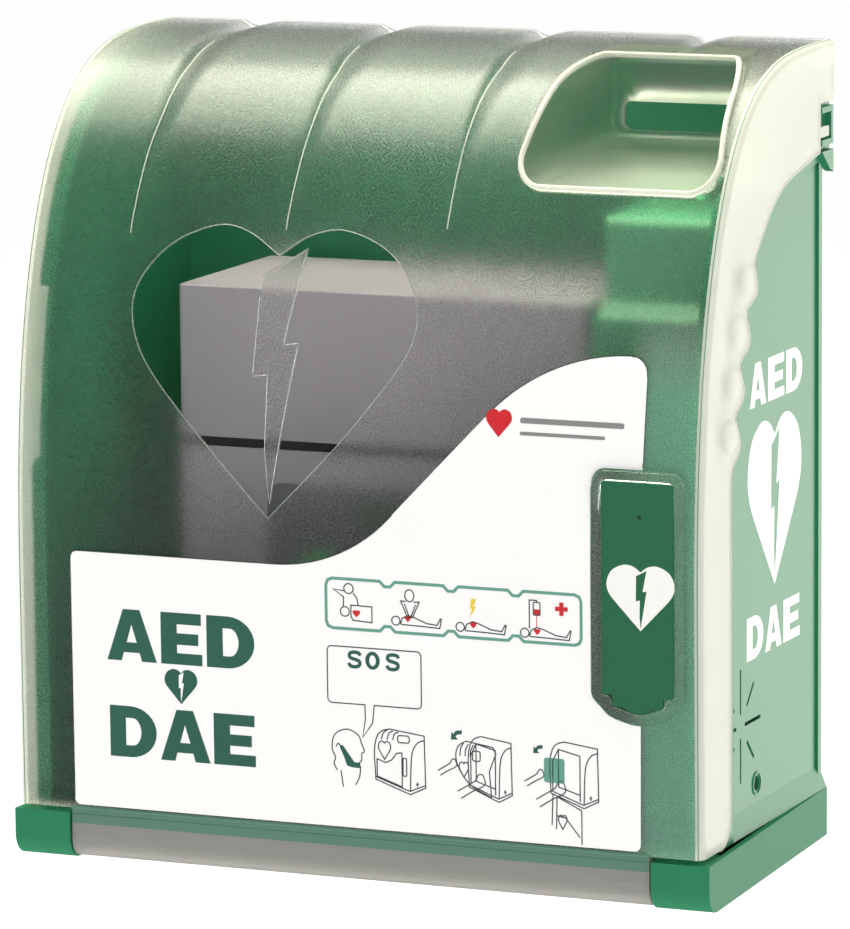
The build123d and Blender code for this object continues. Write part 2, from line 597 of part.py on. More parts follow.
# The defibrillator's lower case, with its control panel, buttons and what they work
with BuildPart(LEVEL) as unit_lower_case:
    block((UNIT_LEFT, UNIT_RIGHT), (UNIT_FRONT, UNIT_BACK), (UNIT_FOOT, SEAM_LOW))
    fillet(unit_lower_case.edges().filter_by(Axis.Z), 3)
    block((UNIT_LEFT + CASE_WALL, UNIT_RIGHT - CASE_WALL), (UNIT_FRONT + CASE_WALL, UNIT_BACK - CASE_WALL),
          (UNIT_FOOT + CASE_WALL, SEAM_LOW + 1), Mode.SUBTRACT)
    with BuildSketch(FRONT.offset(-UNIT_FRONT - PANEL_RECESS)):
        with Locations(PANEL_CENTRE):
            RectangleRounded(PANEL_WIDTH + 0.2, PANEL_TALL + 0.2, 8.1)
    extrude(amount=PANEL_RECESS, mode=Mode.SUBTRACT)
    rods(FRONT.offset(-UNIT_FRONT - 5), [(POWER_X, POWER_Z)], POWER_RADIUS + BUTTON_GAP, 6, Mode.SUBTRACT)
    rods(FRONT.offset(-UNIT_FRONT - 5), [(SHOCK_X, SHOCK_Z)], SHOCK_RADIUS + BUTTON_GAP, 6, Mode.SUBTRACT)
    with BuildSketch(FRONT.offset(-UNIT_FRONT - 5)):
        with Locations((SPEAKER_X, SPEAKER_Z)):
            with GridLocations(0, 7, 1, 5):
                SlotOverall(30, 2.4)
    extrude(amount=6, mode=Mode.SUBTRACT)
    for x, z in CASE_SCREW_PLACES:
        block((x - 4.5, x + 4.5), (UNIT_BACK - 13, UNIT_BACK - CASE_WALL), (z - 4.5, z + 4.5))
    rods(FRONT.offset(-UNIT_BACK), CASE_SCREW_PLACES, 1.8, 12, Mode.SUBTRACT)
unit_lower_case.part.label = "unit_lower_case"
export_step(unit_lower_case.part, "parts/unit_lower_case.step")

with BuildPart(LEVEL) as unit_upper_case:
    block((UNIT_LEFT, UNIT_RIGHT), (UNIT_FRONT, UNIT_BACK), (SEAM_HIGH, UNIT_TOP))
    fillet(unit_upper_case.edges().filter_by(Axis.Z), 3)
    fillet(unit_upper_case.faces().sort_by(Axis.Z)[-1].edges(), 1.2)
    block((UNIT_LEFT + CASE_WALL, UNIT_RIGHT - CASE_WALL), (UNIT_FRONT + CASE_WALL, UNIT_BACK - CASE_WALL),
          (SEAM_HIGH - 1, UNIT_TOP - CASE_WALL), Mode.SUBTRACT)
unit_upper_case.part.label = "unit_upper_case"
export_step(unit_upper_case.part, "parts/unit_upper_case.step")

# Black seal between the two cases, set back a little, with a deck that carries the pads
with BuildPart(LEVEL) as unit_seam_seal:
    block((UNIT_LEFT + 1.5, UNIT_RIGHT - 1.5), (UNIT_FRONT + 1.5, UNIT_BACK - 1.5), (SEAM_LOW, SEAM_HIGH))
    fillet(unit_seam_seal.edges().filter_by(Axis.Z), 2)
unit_seam_seal.part.label = "unit_seam_seal"
export_step(unit_seam_seal.part, "parts/unit_seam_seal.step")

with BuildPart(LEVEL) as unit_case_screws:
    rods(FRONT.offset(-UNIT_BACK), CASE_SCREW_PLACES, 1.8, 11)
    rods(FRONT.offset(-UNIT_BACK - 1.6), CASE_SCREW_PLACES, 3.4, 1.6)
unit_case_screws.part.label = "unit_case_screws"
export_step(unit_case_screws.part, "parts/unit_case_screws.step")

with BuildPart(LEVEL) as unit_feet:
    middle = ((UNIT_LEFT + UNIT_RIGHT) / 2, (UNIT_FRONT + UNIT_BACK) / 2)
    rods(LEVEL.offset(SHELF_TOP), corners(96, 44, *middle), 8, UNIT_FOOT - SHELF_TOP)
unit_feet.part.label = "unit_feet"
export_step(unit_feet.part, "parts/unit_feet.step")

with BuildPart(LEVEL) as unit_panel:
    with BuildSketch(FRONT.offset(-UNIT_FRONT - PANEL_RECESS)):
        with Locations(PANEL_CENTRE):
            RectangleRounded(PANEL_WIDTH, PANEL_TALL, 8)
        with Locations((POWER_X, POWER_Z)):
            Circle(POWER_RADIUS + BUTTON_GAP, mode=Mode.SUBTRACT)
        with Locations((SHOCK_X, SHOCK_Z)):
            Circle(SHOCK_RADIUS + BUTTON_GAP, mode=Mode.SUBTRACT)
        with Locations(WINDOW_CENTRE):
            RectangleRounded(26, 12, 3, mode=Mode.SUBTRACT)
    extrude(amount=PANEL_RECESS)
unit_panel.part.label = "unit_panel"
export_step(unit_panel.part, "parts/unit_panel.step")

with BuildPart(LEVEL) as status_window:
    with BuildSketch(FRONT.offset(-UNIT_FRONT - PANEL_RECESS)):
        with Locations(WINDOW_CENTRE):
            RectangleRounded(26, 12, 3)
    extrude(amount=PANEL_RECESS + 0.4)
status_window.part.label = "status_window"
export_step(status_window.part, "parts/status_window.step")

with BuildPart(LEVEL) as power_button:
    rods(FRONT.offset(130), [(POWER_X, POWER_Z)], POWER_RADIUS, 9.5)
    rods(FRONT.offset(131.8), [(POWER_X, POWER_Z)], POWER_RADIUS + 2, 1.9)
    fillet(power_button.edges().group_by(Axis.Y)[0], 1)
power_button.part.label = "power_button"
export_step(power_button.part, "parts/power_button.step")

with BuildPart(LEVEL) as shock_button:
    rods(FRONT.offset(130), [(SHOCK_X, SHOCK_Z)], SHOCK_RADIUS, 9.5)
    rods(FRONT.offset(131.8), [(SHOCK_X, SHOCK_Z)], SHOCK_RADIUS + 2, 1.9)
    fillet(shock_button.edges().group_by(Axis.Y)[0], 1)
shock_button.part.label = "shock_button"
export_step(shock_button.part, "parts/shock_button.step")

with BuildPart(LEVEL) as button_switches:
    for x, z in ((POWER_X, POWER_Z), (SHOCK_X, SHOCK_Z)):
        block((x - 4, x + 4), (-128.2, UNIT_BOARD_FRONT), (z - 4, z + 4))
button_switches.part.label = "button_switches"
export_step(button_switches.part, "parts/button_switches.step")

with BuildPart(LEVEL) as unit_main_board:
    block((-112, 94), (UNIT_BOARD_FRONT, UNIT_BOARD_FRONT + 1.6), (56, 206))
    block((-100, -70), (UNIT_BOARD_FRONT + 1.6, UNIT_BOARD_FRONT + 5), (160, 190))
    block((-50, -20), (UNIT_BOARD_FRONT + 1.6, UNIT_BOARD_FRONT + 6), (170, 186))
    block((66, 82), (UNIT_BOARD_FRONT + 1.6, UNIT_BOARD_FRONT + 10), (180, 200))
unit_main_board.part.label = "unit_main_board"
export_step(unit_main_board.part, "parts/unit_main_board.step")

with BuildPart(LEVEL) as unit_speaker:
    rods(FRONT.offset(127), [(SPEAKER_X, SPEAKER_Z)], 18, 7)
    rods(FRONT.offset(131), [(SPEAKER_X, SPEAKER_Z)], 15, 4, Mode.SUBTRACT)
unit_speaker.part.label = "unit_speaker"
export_step(unit_speaker.part, "parts/unit_speaker.step")

with BuildPart(LEVEL) as unit_battery:
    block((-112, -34), (-116, -36), (UNIT_FOOT + CASE_WALL, 112))
    fillet(unit_battery.edges().filter_by(Axis.Z), 4)
unit_battery.part.label = "unit_battery"
export_step(unit_battery.part, "parts/unit_battery.step")

with BuildPart(LEVEL) as unit_capacitor:
    rods(SIDE.offset(-18), [(-76, 71)], 22, 92)
    fillet(unit_capacitor.edges(), 2)
unit_capacitor.part.label = "unit_capacitor"
export_step(unit_capacitor.part, "parts/unit_capacitor.step")

with BuildPart(LEVEL) as unit_transformer:
    block((8, 48), (UNIT_BOARD_FRONT + 1.6, UNIT_BOARD_FRONT + 32), (130, 164))
    fillet(unit_transformer.edges().filter_by(Axis.Y), 3)
unit_transformer.part.label = "unit_transformer"
export_step(unit_transformer.part, "parts/unit_transformer.step")

# Sealed pads, already plugged in, on the deck under the upper case
with BuildPart(LEVEL) as electrode_pouch:
    block((-104, 60), (-122, -34), (SEAM_HIGH, SEAM_HIGH + 22))
    fillet(electrode_pouch.edges(), 6)
electrode_pouch.part.label = "electrode_pouch"
export_step(electrode_pouch.part, "parts/electrode_pouch.step")

with BuildPart(LEVEL) as electrode_socket:
    block((74, 96), (-100, -70), (SEAM_HIGH, SEAM_HIGH + 16))
    block((78, 92), (-101, -84), (SEAM_HIGH + 4, SEAM_HIGH + 13), Mode.SUBTRACT)
electrode_socket.part.label = "electrode_socket"
export_step(electrode_socket.part, "parts/electrode_socket.step")

with BuildPart(LEVEL) as electrode_plug:
    block((78, 92), (-112, -84), (SEAM_HIGH + 4, SEAM_HIGH + 13))
    fillet(electrode_plug.edges().filter_by(Axis.Z).group_by(Axis.Y)[0], 3)
electrode_plug.part.label = "electrode_plug"
export_step(electrode_plug.part, "parts/electrode_plug.step")
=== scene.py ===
import json
from math import cos, pi, radians, sin

import bmesh
import bpy
import numpy as np
from mathutils import Matrix, Vector
from mathutils.geometry import delaunay_2d_cdt


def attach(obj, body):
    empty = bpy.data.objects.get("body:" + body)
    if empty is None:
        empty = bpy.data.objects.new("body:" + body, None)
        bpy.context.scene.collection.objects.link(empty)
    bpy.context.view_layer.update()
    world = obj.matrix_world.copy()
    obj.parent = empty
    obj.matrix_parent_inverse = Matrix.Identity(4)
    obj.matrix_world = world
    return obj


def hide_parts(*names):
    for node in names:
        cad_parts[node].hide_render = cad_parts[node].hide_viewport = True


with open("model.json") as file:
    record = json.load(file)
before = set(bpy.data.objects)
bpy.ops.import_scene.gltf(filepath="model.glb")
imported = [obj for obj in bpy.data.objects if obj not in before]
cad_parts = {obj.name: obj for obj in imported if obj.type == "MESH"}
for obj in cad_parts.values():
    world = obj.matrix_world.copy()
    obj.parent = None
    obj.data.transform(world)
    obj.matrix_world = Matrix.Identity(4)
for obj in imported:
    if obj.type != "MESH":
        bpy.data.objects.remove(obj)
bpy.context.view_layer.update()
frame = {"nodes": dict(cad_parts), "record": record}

# Lengths are in millimetres, with z counted from the cabinet's underside, until at() turns
# them into metres in the row frame.
MM = 0.001
SCREW_LEVEL = 230.0

COVER_HALF = 190.5
COVER_FRONT = 199.5
COVER_FOOT_FRONT = 198.3
COVER_FOOT = 28.5
COVER_BACK = -2.7
COVER_TOP = 423.0
SHOULDER = 162.4
TOP_FLAT = 11.2
WALL = 2.6
CREASE = 4.0
SKIN_HALF = COVER_HALF - CREASE
SHEET_FACE = 0.65

GREEN = (0.022, 0.235, 0.115)
INK_GREEN = (0.026, 0.125, 0.090)
TEAL = (0.13, 0.36, 0.28)
RED = (0.62, 0.02, 0.03)


def at(x, y, z):
    return (x * MM, y * MM, (z - SCREW_LEVEL) * MM)


# ---------------- materials


def node(tree, kind, **inputs):
    made = tree.nodes.new(kind)
    for name, value in inputs.items():
        made.inputs[name.replace("_", " ")].default_value = value
    return made


def plastic(name, colour, rough=0.42, spread=0.08, grain=1400.0, bump=0.10, mottle=0.06, **more):
    """Moulded plastic, paint or print: a faintly uneven colour, a grain and an uneven gloss."""
    made = bpy.data.materials.new(name)
    made.use_nodes = True
    tree = made.node_tree
    shader = tree.nodes["Principled BSDF"]
    link = tree.links.new
    place = tree.nodes.new("ShaderNodeTexCoord").outputs["Object"]
    broad = node(tree, "ShaderNodeTexNoise", Scale=14.0, Detail=4.0, Roughness=0.6)
    fine = node(tree, "ShaderNodeTexNoise", Scale=grain, Detail=3.0, Roughness=0.55)
    link(place, broad.inputs["Vector"])
    link(place, fine.inputs["Vector"])
    tint = node(tree, "ShaderNodeMixRGB")
    tint.inputs["Color1"].default_value = (*(c * (1 - mottle) for c in colour), 1)
    tint.inputs["Color2"].default_value = (*(min(1, c * (1 + mottle)) for c in colour), 1)
    link(broad.outputs["Fac"], tint.inputs["Fac"])
    link(tint.outputs["Color"], shader.inputs["Base Color"])
    gloss = tree.nodes.new("ShaderNodeMapRange")
    gloss.inputs["To Min"].default_value = rough - spread
    gloss.inputs["To Max"].default_value = rough + spread
    link(fine.outputs["Fac"], gloss.inputs["Value"])
    link(gloss.outputs["Result"], shader.inputs["Roughness"])
    raised = node(tree, "ShaderNodeBump", Strength=bump, Distance=0.0003)
    link(fine.outputs["Fac"], raised.inputs["Height"])
    link(raised.outputs["Normal"], shader.inputs["Normal"])
    for key, value in more.items():
        shader.inputs[key.replace("_", " ")].default_value = value
    return made


def see_through(name, colour, rough, spread, clear, bump, shade, ior=1.3):
    """Clear or frosted polycarbonate. Lamps reach what is behind it, dimmed by shade."""
    made = plastic(name, colour, rough, spread, grain=2200.0, bump=bump, mottle=0.02,
                   Transmission_Weight=clear, IOR=ior)
    tree = made.node_tree
    link = tree.links.new
    path = tree.nodes.new("ShaderNodeLightPath")
    lamp = tree.nodes.new("ShaderNodeBsdfTransparent")
    lamp.inputs["Color"].default_value = (*shade, 1)
    mix = tree.nodes.new("ShaderNodeMixShader")
    link(path.outputs["Is Shadow Ray"], mix.inputs[0])
    link(tree.nodes["Principled BSDF"].outputs[0], mix.inputs[1])
    link(lamp.outputs[0], mix.inputs[2])
    link(mix.outputs[0], tree.nodes["Material Output"].inputs["Surface"])
    return made


# In turn: name, colour, roughness, its spread, clearness, grain, shade for lamps, index of refraction
FROST = see_through("frosted", (0.90, 0.915, 0.90), 0.27, 0.04, 0.995, 0.12, (0.27, 0.28, 0.265), 1.35)
SKIRT = see_through("frosted_edge", (0.80, 0.81, 0.75), 0.45, 0.05, 0.42, 0.12, (0.5, 0.52, 0.48), 1.45)
CLEAR = see_through("clear", (0.95, 0.97, 0.95), 0.03, 0.01, 1.0, 0.0, (0.80, 0.82, 0.80), 1.22)
BEAD = see_through("clear_bead", (0.80, 0.83, 0.79), 0.14, 0.04, 0.80, 0.02, (0.7, 0.72, 0.7), 1.5)
SIGN_BEAD = see_through("clear_sign_bead", (0.72, 0.83, 0.76), 0.10, 0.03, 0.95, 0.02,
                        (0.7, 0.75, 0.7), 1.38)
BAR = see_through("smoked_bar", (0.50, 0.49, 0.47), 0.36, 0.05, 0.55, 0.12, (0.5, 0.5, 0.5))
POCKET = see_through("frosted_pocket", (0.72, 0.80, 0.70), 0.30, 0.05, 0.95, 0.10,
                     (0.80, 0.85, 0.78), 1.4)
BAR_OVER_TRAY = see_through("smoked_bar_over_tray", (0.16, 0.33, 0.25), 0.36, 0.05, 0.35, 0.12,
                            (0.4, 0.5, 0.45))


# The painted reflection strip begins and ends over these spans, in metres in the row frame
STRIP_ACROSS = (0.148, 0.162)
STRIP_DOWN = (0.075, 0.03)


def painted_reflection_strip(made, tint, clear):
    """Paint a reflection into a see-through finish: a pale green, less clear strip at the lower right of the
    front.
    """
    tree = made.node_tree
    link = tree.links.new
    shader = tree.nodes["Principled BSDF"]
    split = tree.nodes.new("ShaderNodeSeparateXYZ")
    link(tree.nodes.new("ShaderNodeTexCoord").outputs["Object"], split.inputs[0])
    parts = []
    for axis, (low, high) in (("X", STRIP_ACROSS), ("Z", STRIP_DOWN)):
        ramp = tree.nodes.new("ShaderNodeMapRange")
        ramp.inputs["From Min"].default_value = low
        ramp.inputs["From Max"].default_value = high
        link(split.outputs[axis], ramp.inputs["Value"])
        parts.append(ramp.outputs["Result"])
    share = node(tree, "ShaderNodeMath")
    share.operation = "MULTIPLY"
    link(parts[0], share.inputs[0])
    link(parts[1], share.inputs[1])
    mix = node(tree, "ShaderNodeMixRGB")
    link(share.outputs[0], mix.inputs["Fac"])
    link(shader.inputs["Base Color"].links[0].from_socket, mix.inputs["Color1"])
    mix.inputs["Color2"].default_value = (*tint, 1)
    link(mix.outputs[0], shader.inputs["Base Color"])
    through = tree.nodes.new("ShaderNodeMapRange")
    through.inputs["To Min"].default_value = shader.inputs["Transmission Weight"].default_value
    through.inputs["To Max"].default_value = clear
    link(share.outputs[0], through.inputs["Value"])
    link(through.outputs["Result"], shader.inputs["Transmission Weight"])


# Painted reflection: the frosted front's lower right is tinted pale green and made less clear
painted_reflection_strip(FROST, (0.42, 0.80, 0.62), 0.77)

# By slot, and by node for the two that differ from their slot
FINISHES = {
    "casing": plastic("green_moulding", GREEN, 0.40, 0.06, 1600.0, 0.12, 0.05),
    "clear": FROST,
    "electronics_housing": plastic("pale_green_moulding", (0.075, 0.315, 0.175), 0.40, 0.06, 1600.0,
                                   0.12, 0.05),
    "base_tray": plastic("dull_green_moulding", (0.020, 0.215, 0.105), 0.52, 0.06, 1600.0, 0.12, 0.05,
                         Specular_IOR_Level=0.22),
    "print": plastic("printed_sheet", (0.96, 0.955, 0.97), 0.30, 0.05, 900.0, 0.03, 0.012),
    "sign": plastic("sign_film", (0.020, 0.145, 0.066), 0.28, 0.05, 1200.0, 0.04, 0.05),
    "unit": plastic("grey_moulding", (0.345, 0.31, 0.36), 0.52, 0.07, 1900.0, 0.25, 0.04),
    "seal": plastic("black_rubber", (0.006, 0.006, 0.006), 0.7, 0.08, 900.0, 0.2, 0.2),
    "steel": plastic("zinc", (0.60, 0.60, 0.58), 0.32, 0.12, 700.0, 0.15, 0.08, Metallic=1.0),
    "board": plastic("solder_mask", (0.015, 0.14, 0.05), 0.35, 0.1, 600.0, 0.2, 0.25),
    "dark": plastic("black_moulding", (0.02, 0.02, 0.022), 0.45, 0.08, 1700.0, 0.2, 0.15),
    "panel": plastic("panel_overlay", (0.10, 0.105, 0.12), 0.34, 0.06, 1500.0, 0.08, 0.06),
    "power": plastic("green_key", (0.03, 0.36, 0.09), 0.38, 0.06, 1500.0, 0.06, 0.05),
    "shock": plastic("orange_key", (0.85, 0.16, 0.02), 0.38, 0.06, 1500.0, 0.06, 0.04),
    "lens": see_through("green_lens", (0.35, 0.75, 0.42), 0.10, 0.03, 0.9, 0.0, (0.4, 0.8, 0.45)),
    "cell": plastic("cell_wrap", (0.09, 0.10, 0.13), 0.35, 0.08, 1000.0, 0.05, 0.2),
    "foil": plastic("foil_packet", (0.70, 0.71, 0.74), 0.28, 0.12, 160.0, 0.6, 0.05, Metallic=1.0),
}


def ink(name, colour, mottle, rough=0.33, bump=0.03):
    return plastic(name, colour, rough, 0.05, 1300.0, bump, mottle)


WHITE_INK = ink("white_ink", (0.92, 0.92, 0.91), 0.02, 0.35, 0.04)
GREEN_INK = ink("green_ink", INK_GREEN, 0.06)
TEAL_INK = ink("teal_ink", TEAL, 0.05)
LINE_INK = ink("line_ink", (0.05, 0.06, 0.06), 0.1, 0.35)
RED_INK = ink("red_ink", RED, 0.05)
YELLOW_INK = ink("yellow_ink", (0.85, 0.62, 0.05), 0.04)

# ---------------- mesh helpers


def added(name, data):
    made = bpy.data.objects.new(name, data)
    bpy.context.scene.collection.objects.link(made)
    return made


def show(name, mesh, body, slot, *materials):
    made = added(name, mesh)
    for each in materials:
        mesh.materials.append(each)
    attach(made, body)
    return made


def moulded(mesh, *finishes):
    """A piece of the cover's see-through moulding, named like its mesh."""
    return show(mesh.name, mesh, "cover", "clear", *finishes)


def mesh_of(name, points, faces, indices=None, smooth=True):
    mesh = bpy.data.meshes.new(name)
    mesh.from_pydata([at(*p) for p in points], [], [tuple(int(i) for i in f) for f in faces])
    mesh.polygons.foreach_set("use_smooth", [smooth] * len(faces))
    if indices is not None:
        mesh.polygons.foreach_set("material_index", indices)
    mesh.update()
    return mesh


def inside(points, loop):
    """Which of the points lie in a closed loop."""
    p = np.asarray(points, float)
    a = np.asarray(loop, float)
    b = np.roll(a, -1, axis=0)
    hit = np.zeros(len(p), bool)
    for (ax, ay), (bx, by) in zip(a, b):
        if ay == by:
            continue
        crosses = (p[:, 1] < ay) != (p[:, 1] < by)
        hit ^= crosses & (p[:, 0] < ax + (p[:, 1] - ay) * (bx - ax) / (by - ay))
    return hit


def triangulate(loops, extra=(), chains=()):
    """Triangles over all the points, with every loop and chain kept as edges."""
    points, edges = [], []
    for closed, group in ((True, loops), (False, chains)):
        for line in group:
            first = len(points)
            count = len(line)
            points += [tuple(p) for p in line]
            edges += [(first + i, first + (i + 1) % count) for i in range(count if closed else count - 1)]
    points += [tuple(p) for p in extra]
    found = delaunay_2d_cdt([Vector(p) for p in points], edges, [], 0, 1e-5)
    verts = np.array([tuple(v) for v in found[0]], float)
    faces = np.array([f for f in found[2] if len(f) == 3], int)
    return verts, faces


def fill(shapes):
    """Triangles inside any of the shapes. A shape is a list of loops, holes included."""
    verts, faces = triangulate([loop for shape in shapes for loop in shape])
    middles = verts[faces].mean(axis=1)
    keep = np.zeros(len(faces), bool)
    for shape in shapes:
        odd = np.zeros(len(faces), bool)
        for loop in shape:
            odd ^= inside(middles, loop)
        keep |= odd
    faces = faces[keep]
    used = np.unique(faces)
    number = {old: new for new, old in enumerate(used)}
    return verts[used], [[number[i] for i in f] for f in faces]


def slab(name, shapes, place, low, high, smooth=False):
    """A thin closed sheet with the shapes' outline, laid on a surface by place(u, v, height)."""
    flat, faces = fill(shapes)
    count = len(flat)
    points = [place(u, v, high) for u, v in flat] + [place(u, v, low) for u, v in flat]
    edges = {}
    for f in faces:
        for a, b in zip(f, f[1:] + f[:1]):
            edges[(a, b)] = True
    sides = [(b, a, a + count, b + count) for a, b in edges if (b, a) not in edges]
    under = [[i + count for i in reversed(f)] for f in faces]
    mesh = mesh_of(name, points, faces + under + sides, smooth=smooth)
    return outward(mesh)


def outward(mesh):
    work = bmesh.new()
    work.from_mesh(mesh)
    bmesh.ops.recalc_face_normals(work, faces=work.faces)
    work.to_mesh(mesh)
    work.free()
    return mesh


def curve_through(points, corners=(), steps=6, closed=True):
    """A smooth line through the points that turns sharply only at the corners."""
    pts = [Vector(p) for p in points]
    count = len(pts)
    out = []
    for i in range(count if closed else count - 1):
        b, c = pts[i], pts[(i + 1) % count]
        a = pts[i - 1] if (closed or i) and i not in corners else b - (c - b) * 0.6
        d = pts[(i + 2) % count] if closed or i + 2 < count else c + (c - b) * 0.6
        if (i + 1) % count in corners:
            d = c + (c - b) * 0.6
        for k in range(steps):
            t = k / steps
            out.append(tuple(0.5 * ((2 * b) + (c - a) * t + (2 * a - 5 * b + 4 * c - d) * t ** 2
                                    + (3 * b - a - 3 * c + d) * t ** 3)))
    if not closed:
        out.append(tuple(pts[-1]))
    return out


def rounded(points, radius, steps=6):
    """A polygon with rounded corners."""
    out = []
    count = len(points)
    radii = radius if isinstance(radius, (list, tuple)) else [radius] * count
    for i in range(count):
        p = Vector(points[i])
        before = Vector(points[i - 1]) - p
        after = Vector(points[(i + 1) % count]) - p
        half = before.angle(after) / 2
        if radii[i] <= 0:
            out.append(tuple(p))
            continue
        reach = radii[i] / np.tan(half)
        start, end = p + before.normalized() * reach, p + after.normalized() * reach
        centre = p + (before.normalized() + after.normalized()).normalized() * radii[i] / sin(half)
        a, b = start - centre, end - centre
        turn = a.angle_signed(b)
        for k in range(steps + 1):
            out.append(tuple(centre + Matrix.Rotation(-turn * k / steps, 2) @ a))
    return out


def box_loop(x0, x1, y0, y1, radius=0.0, steps=6):
    return rounded([(x0, y0), (x1, y0), (x1, y1), (x0, y1)], radius, steps)


def ring(x, y, rx, ry=None, steps=32, start=0.0):
    ry = rx if ry is None else ry
    turn = [start + 2 * pi * k / steps for k in range(steps)]
    return [(x + rx * cos(a), y + ry * sin(a)) for a in turn]


def stroke(points, width, closed=False):
    """A drawn line of even width, as a shape for fill()."""
    pts = [Vector(p) for p in points]
    count = len(pts)
    left, right = [], []
    for i, p in enumerate(pts):
        before = pts[i - 1] if closed or i else None
        after = pts[(i + 1) % count] if closed or i < count - 1 else None
        d1 = (p - before).normalized() if before is not None else (after - p).normalized()
        d2 = (after - p).normalized() if after is not None else d1
        normal = (Vector((-d1.y, d1.x)) + Vector((-d2.y, d2.x)))
        normal = normal.normalized() if normal.length > 1e-6 else Vector((-d1.y, d1.x))
        reach = width / 2 / max(0.5, normal.dot(Vector((-d1.y, d1.x))))
        left.append(tuple(p + normal * reach))
        right.append(tuple(p - normal * reach))
    return [left, right] if closed else [left + right[::-1]]


def bands(count, size, closed=False):
    """Quads between loops of equal size that follow one another."""
    faces = []
    for i in range(count if closed else count - 1):
        a, b = i * size, (i + 1) % count * size
        faces += [(a + k, a + (k + 1) % size, b + (k + 1) % size, b + k) for k in range(size)]
    return faces


def tube(name, path, radius, closed=True, sides=10):
    """A round bead along a path of points."""
    pts = [Vector(p) for p in path]
    count = len(pts)
    points = []
    for i, p in enumerate(pts):
        before = pts[i - 1] if closed or i else p
        after = pts[(i + 1) % count] if closed or i < count - 1 else p
        along = (after - before).normalized()
        side = along.cross(Vector((0, 0.31, 0.95)))
        side = side.normalized() if side.length > 0.05 else along.orthogonal().normalized()
        up = along.cross(side)
        points += [tuple(p + radius * (cos(2 * pi * k / sides) * side + sin(2 * pi * k / sides) * up))
                   for k in range(sides)]
    faces = bands(count, sides, closed)
    if not closed:
        faces += [tuple(range(sides)), tuple(range((count - 1) * sides, count * sides))]
    return outward(mesh_of(name, points, faces))


def lathe(name, loops, smooth=True, cap=True):
    """Closed loops of equal length joined one to the next, with both ends filled."""
    size = len(loops[0])
    points = [p for loop in loops for p in loop]
    faces = bands(len(loops), size)
    if cap:
        faces += [tuple(range(size)), tuple(range((len(loops) - 1) * size, len(loops) * size))]
    return outward(mesh_of(name, points, faces, smooth=smooth))


# ---------------- the cover's side outline


def trace_profile():
    """The cover's outside from foot to back: arc length, y, z and the outward normal."""
    lean, rise = COVER_FRONT - COVER_FOOT_FRONT, SHOULDER - COVER_FOOT
    steps = np.linspace(0, 1, 60, endpoint=False)
    front = [(-COVER_FOOT_FRONT - lean * t, COVER_FOOT + rise * t) for t in steps]
    turn = [pi / 2 * (1 - (1 - t) ** 2) for t in np.linspace(0, 1, 700)]
    over = [(-TOP_FLAT - (COVER_FRONT - TOP_FLAT) * cos(a) ** (2 / 3.39),
             SHOULDER + (COVER_TOP - SHOULDER) * sin(a) ** (2 / 2.2)) for a in turn]
    yz = np.array(front + over + [(COVER_BACK, COVER_TOP)])
    length = np.concatenate([[0], np.cumsum(np.hypot(*np.diff(yz, axis=0).T))])
    s = np.linspace(0, length[-1], 1200)
    y, z = np.interp(s, length, yz[:, 0]), np.interp(s, length, yz[:, 1])
    ty, tz = np.gradient(y), np.gradient(z)
    size = np.hypot(ty, tz)
    return s, y, z, -tz / size, ty / size


S, PY, PZ, NY, NZ = trace_profile()
S_END = float(S[-1])


def on_cover(x, s, out=0.0):
    """The point at x and arc length s, moved out along the surface's normal."""
    return (x, float(np.interp(s, S, PY) + out * np.interp(s, S, NY)),
            float(np.interp(s, S, PZ) + out * np.interp(s, S, NZ)))


def s_near(y, z):
    return float(S[np.argmin((PY - y) ** 2 + (PZ - z) ** 2)])


def s_at_height(z):
    return float(np.interp(z, PZ, S))


def on_front(x, z, out=0.0):
    return on_cover(x, s_at_height(z), out)


# Grooves over the top, between soft pillows: points (x, y, z) down each valley
GROOVES = (
    ((-138.5, -6, 423), (-138, -21, 423), (-131.7, -102, 413), (-130.9, -138, 390), (-132.2, -156, 369),
     (-132.6, -173, 336)),
    ((-58, -4, 423), (-57.3, -11, 423), (-45.7, -107, 411), (-45.1, -141, 387.5), (-45.5, -171, 341)),
    ((29.5, -4, 423), (30.5, -11, 423), (41.2, -95, 415.5), (41.8, -127.5, 399), (43, -169, 345)),
    ((119.5, -4, 423), (120.6, -8, 423), (127.0, -55, 422), (129.2, -70, 420.6)),
)
GROOVE_DEPTH = 3.9
GROOVE_RIGHT = 19.0
GROOVE_LEFT = 6.5


def groove_line(index):
    """Arc lengths and x along a valley, from its lower end to the back."""
    found = sorted((s_near(y, z), x) for x, y, z in GROOVES[index])
    return np.array([s for s, x in found]), np.array([x for s, x in found])


LINES = [groove_line(i) for i in range(4)]


def groove_at(index, s):
    """The valley's x, its depth and how wide its two flanks are at an arc length."""
    along, across = LINES[index]
    foot = along[0]
    full = s_near(-100, 414) if index < 3 else foot + 12
    share = min(1.0, max(0.0, (s - foot) / (full - foot)))
    depth = GROOVE_DEPTH * share ** 0.85
    left = 3 + (GROOVE_LEFT - 3) * share
    right = 4 + (GROOVE_RIGHT - 4) * share
    return float(np.interp(s, along, across)), depth, left, right


def dent(x, s):
    """How far the outside lies under the plain outline."""
    deep = 0.0
    for index in range(4):
        middle, depth, left, right = groove_at(index, s)
        if depth <= 0:
            continue
        t = (x - middle) / right if x > middle else (middle - x) / left
        if t < 1:
            deep = max(deep, depth * (1 - sin(pi / 2 * t)) if x > middle else depth * (1 - t) ** 1.5)
    return deep


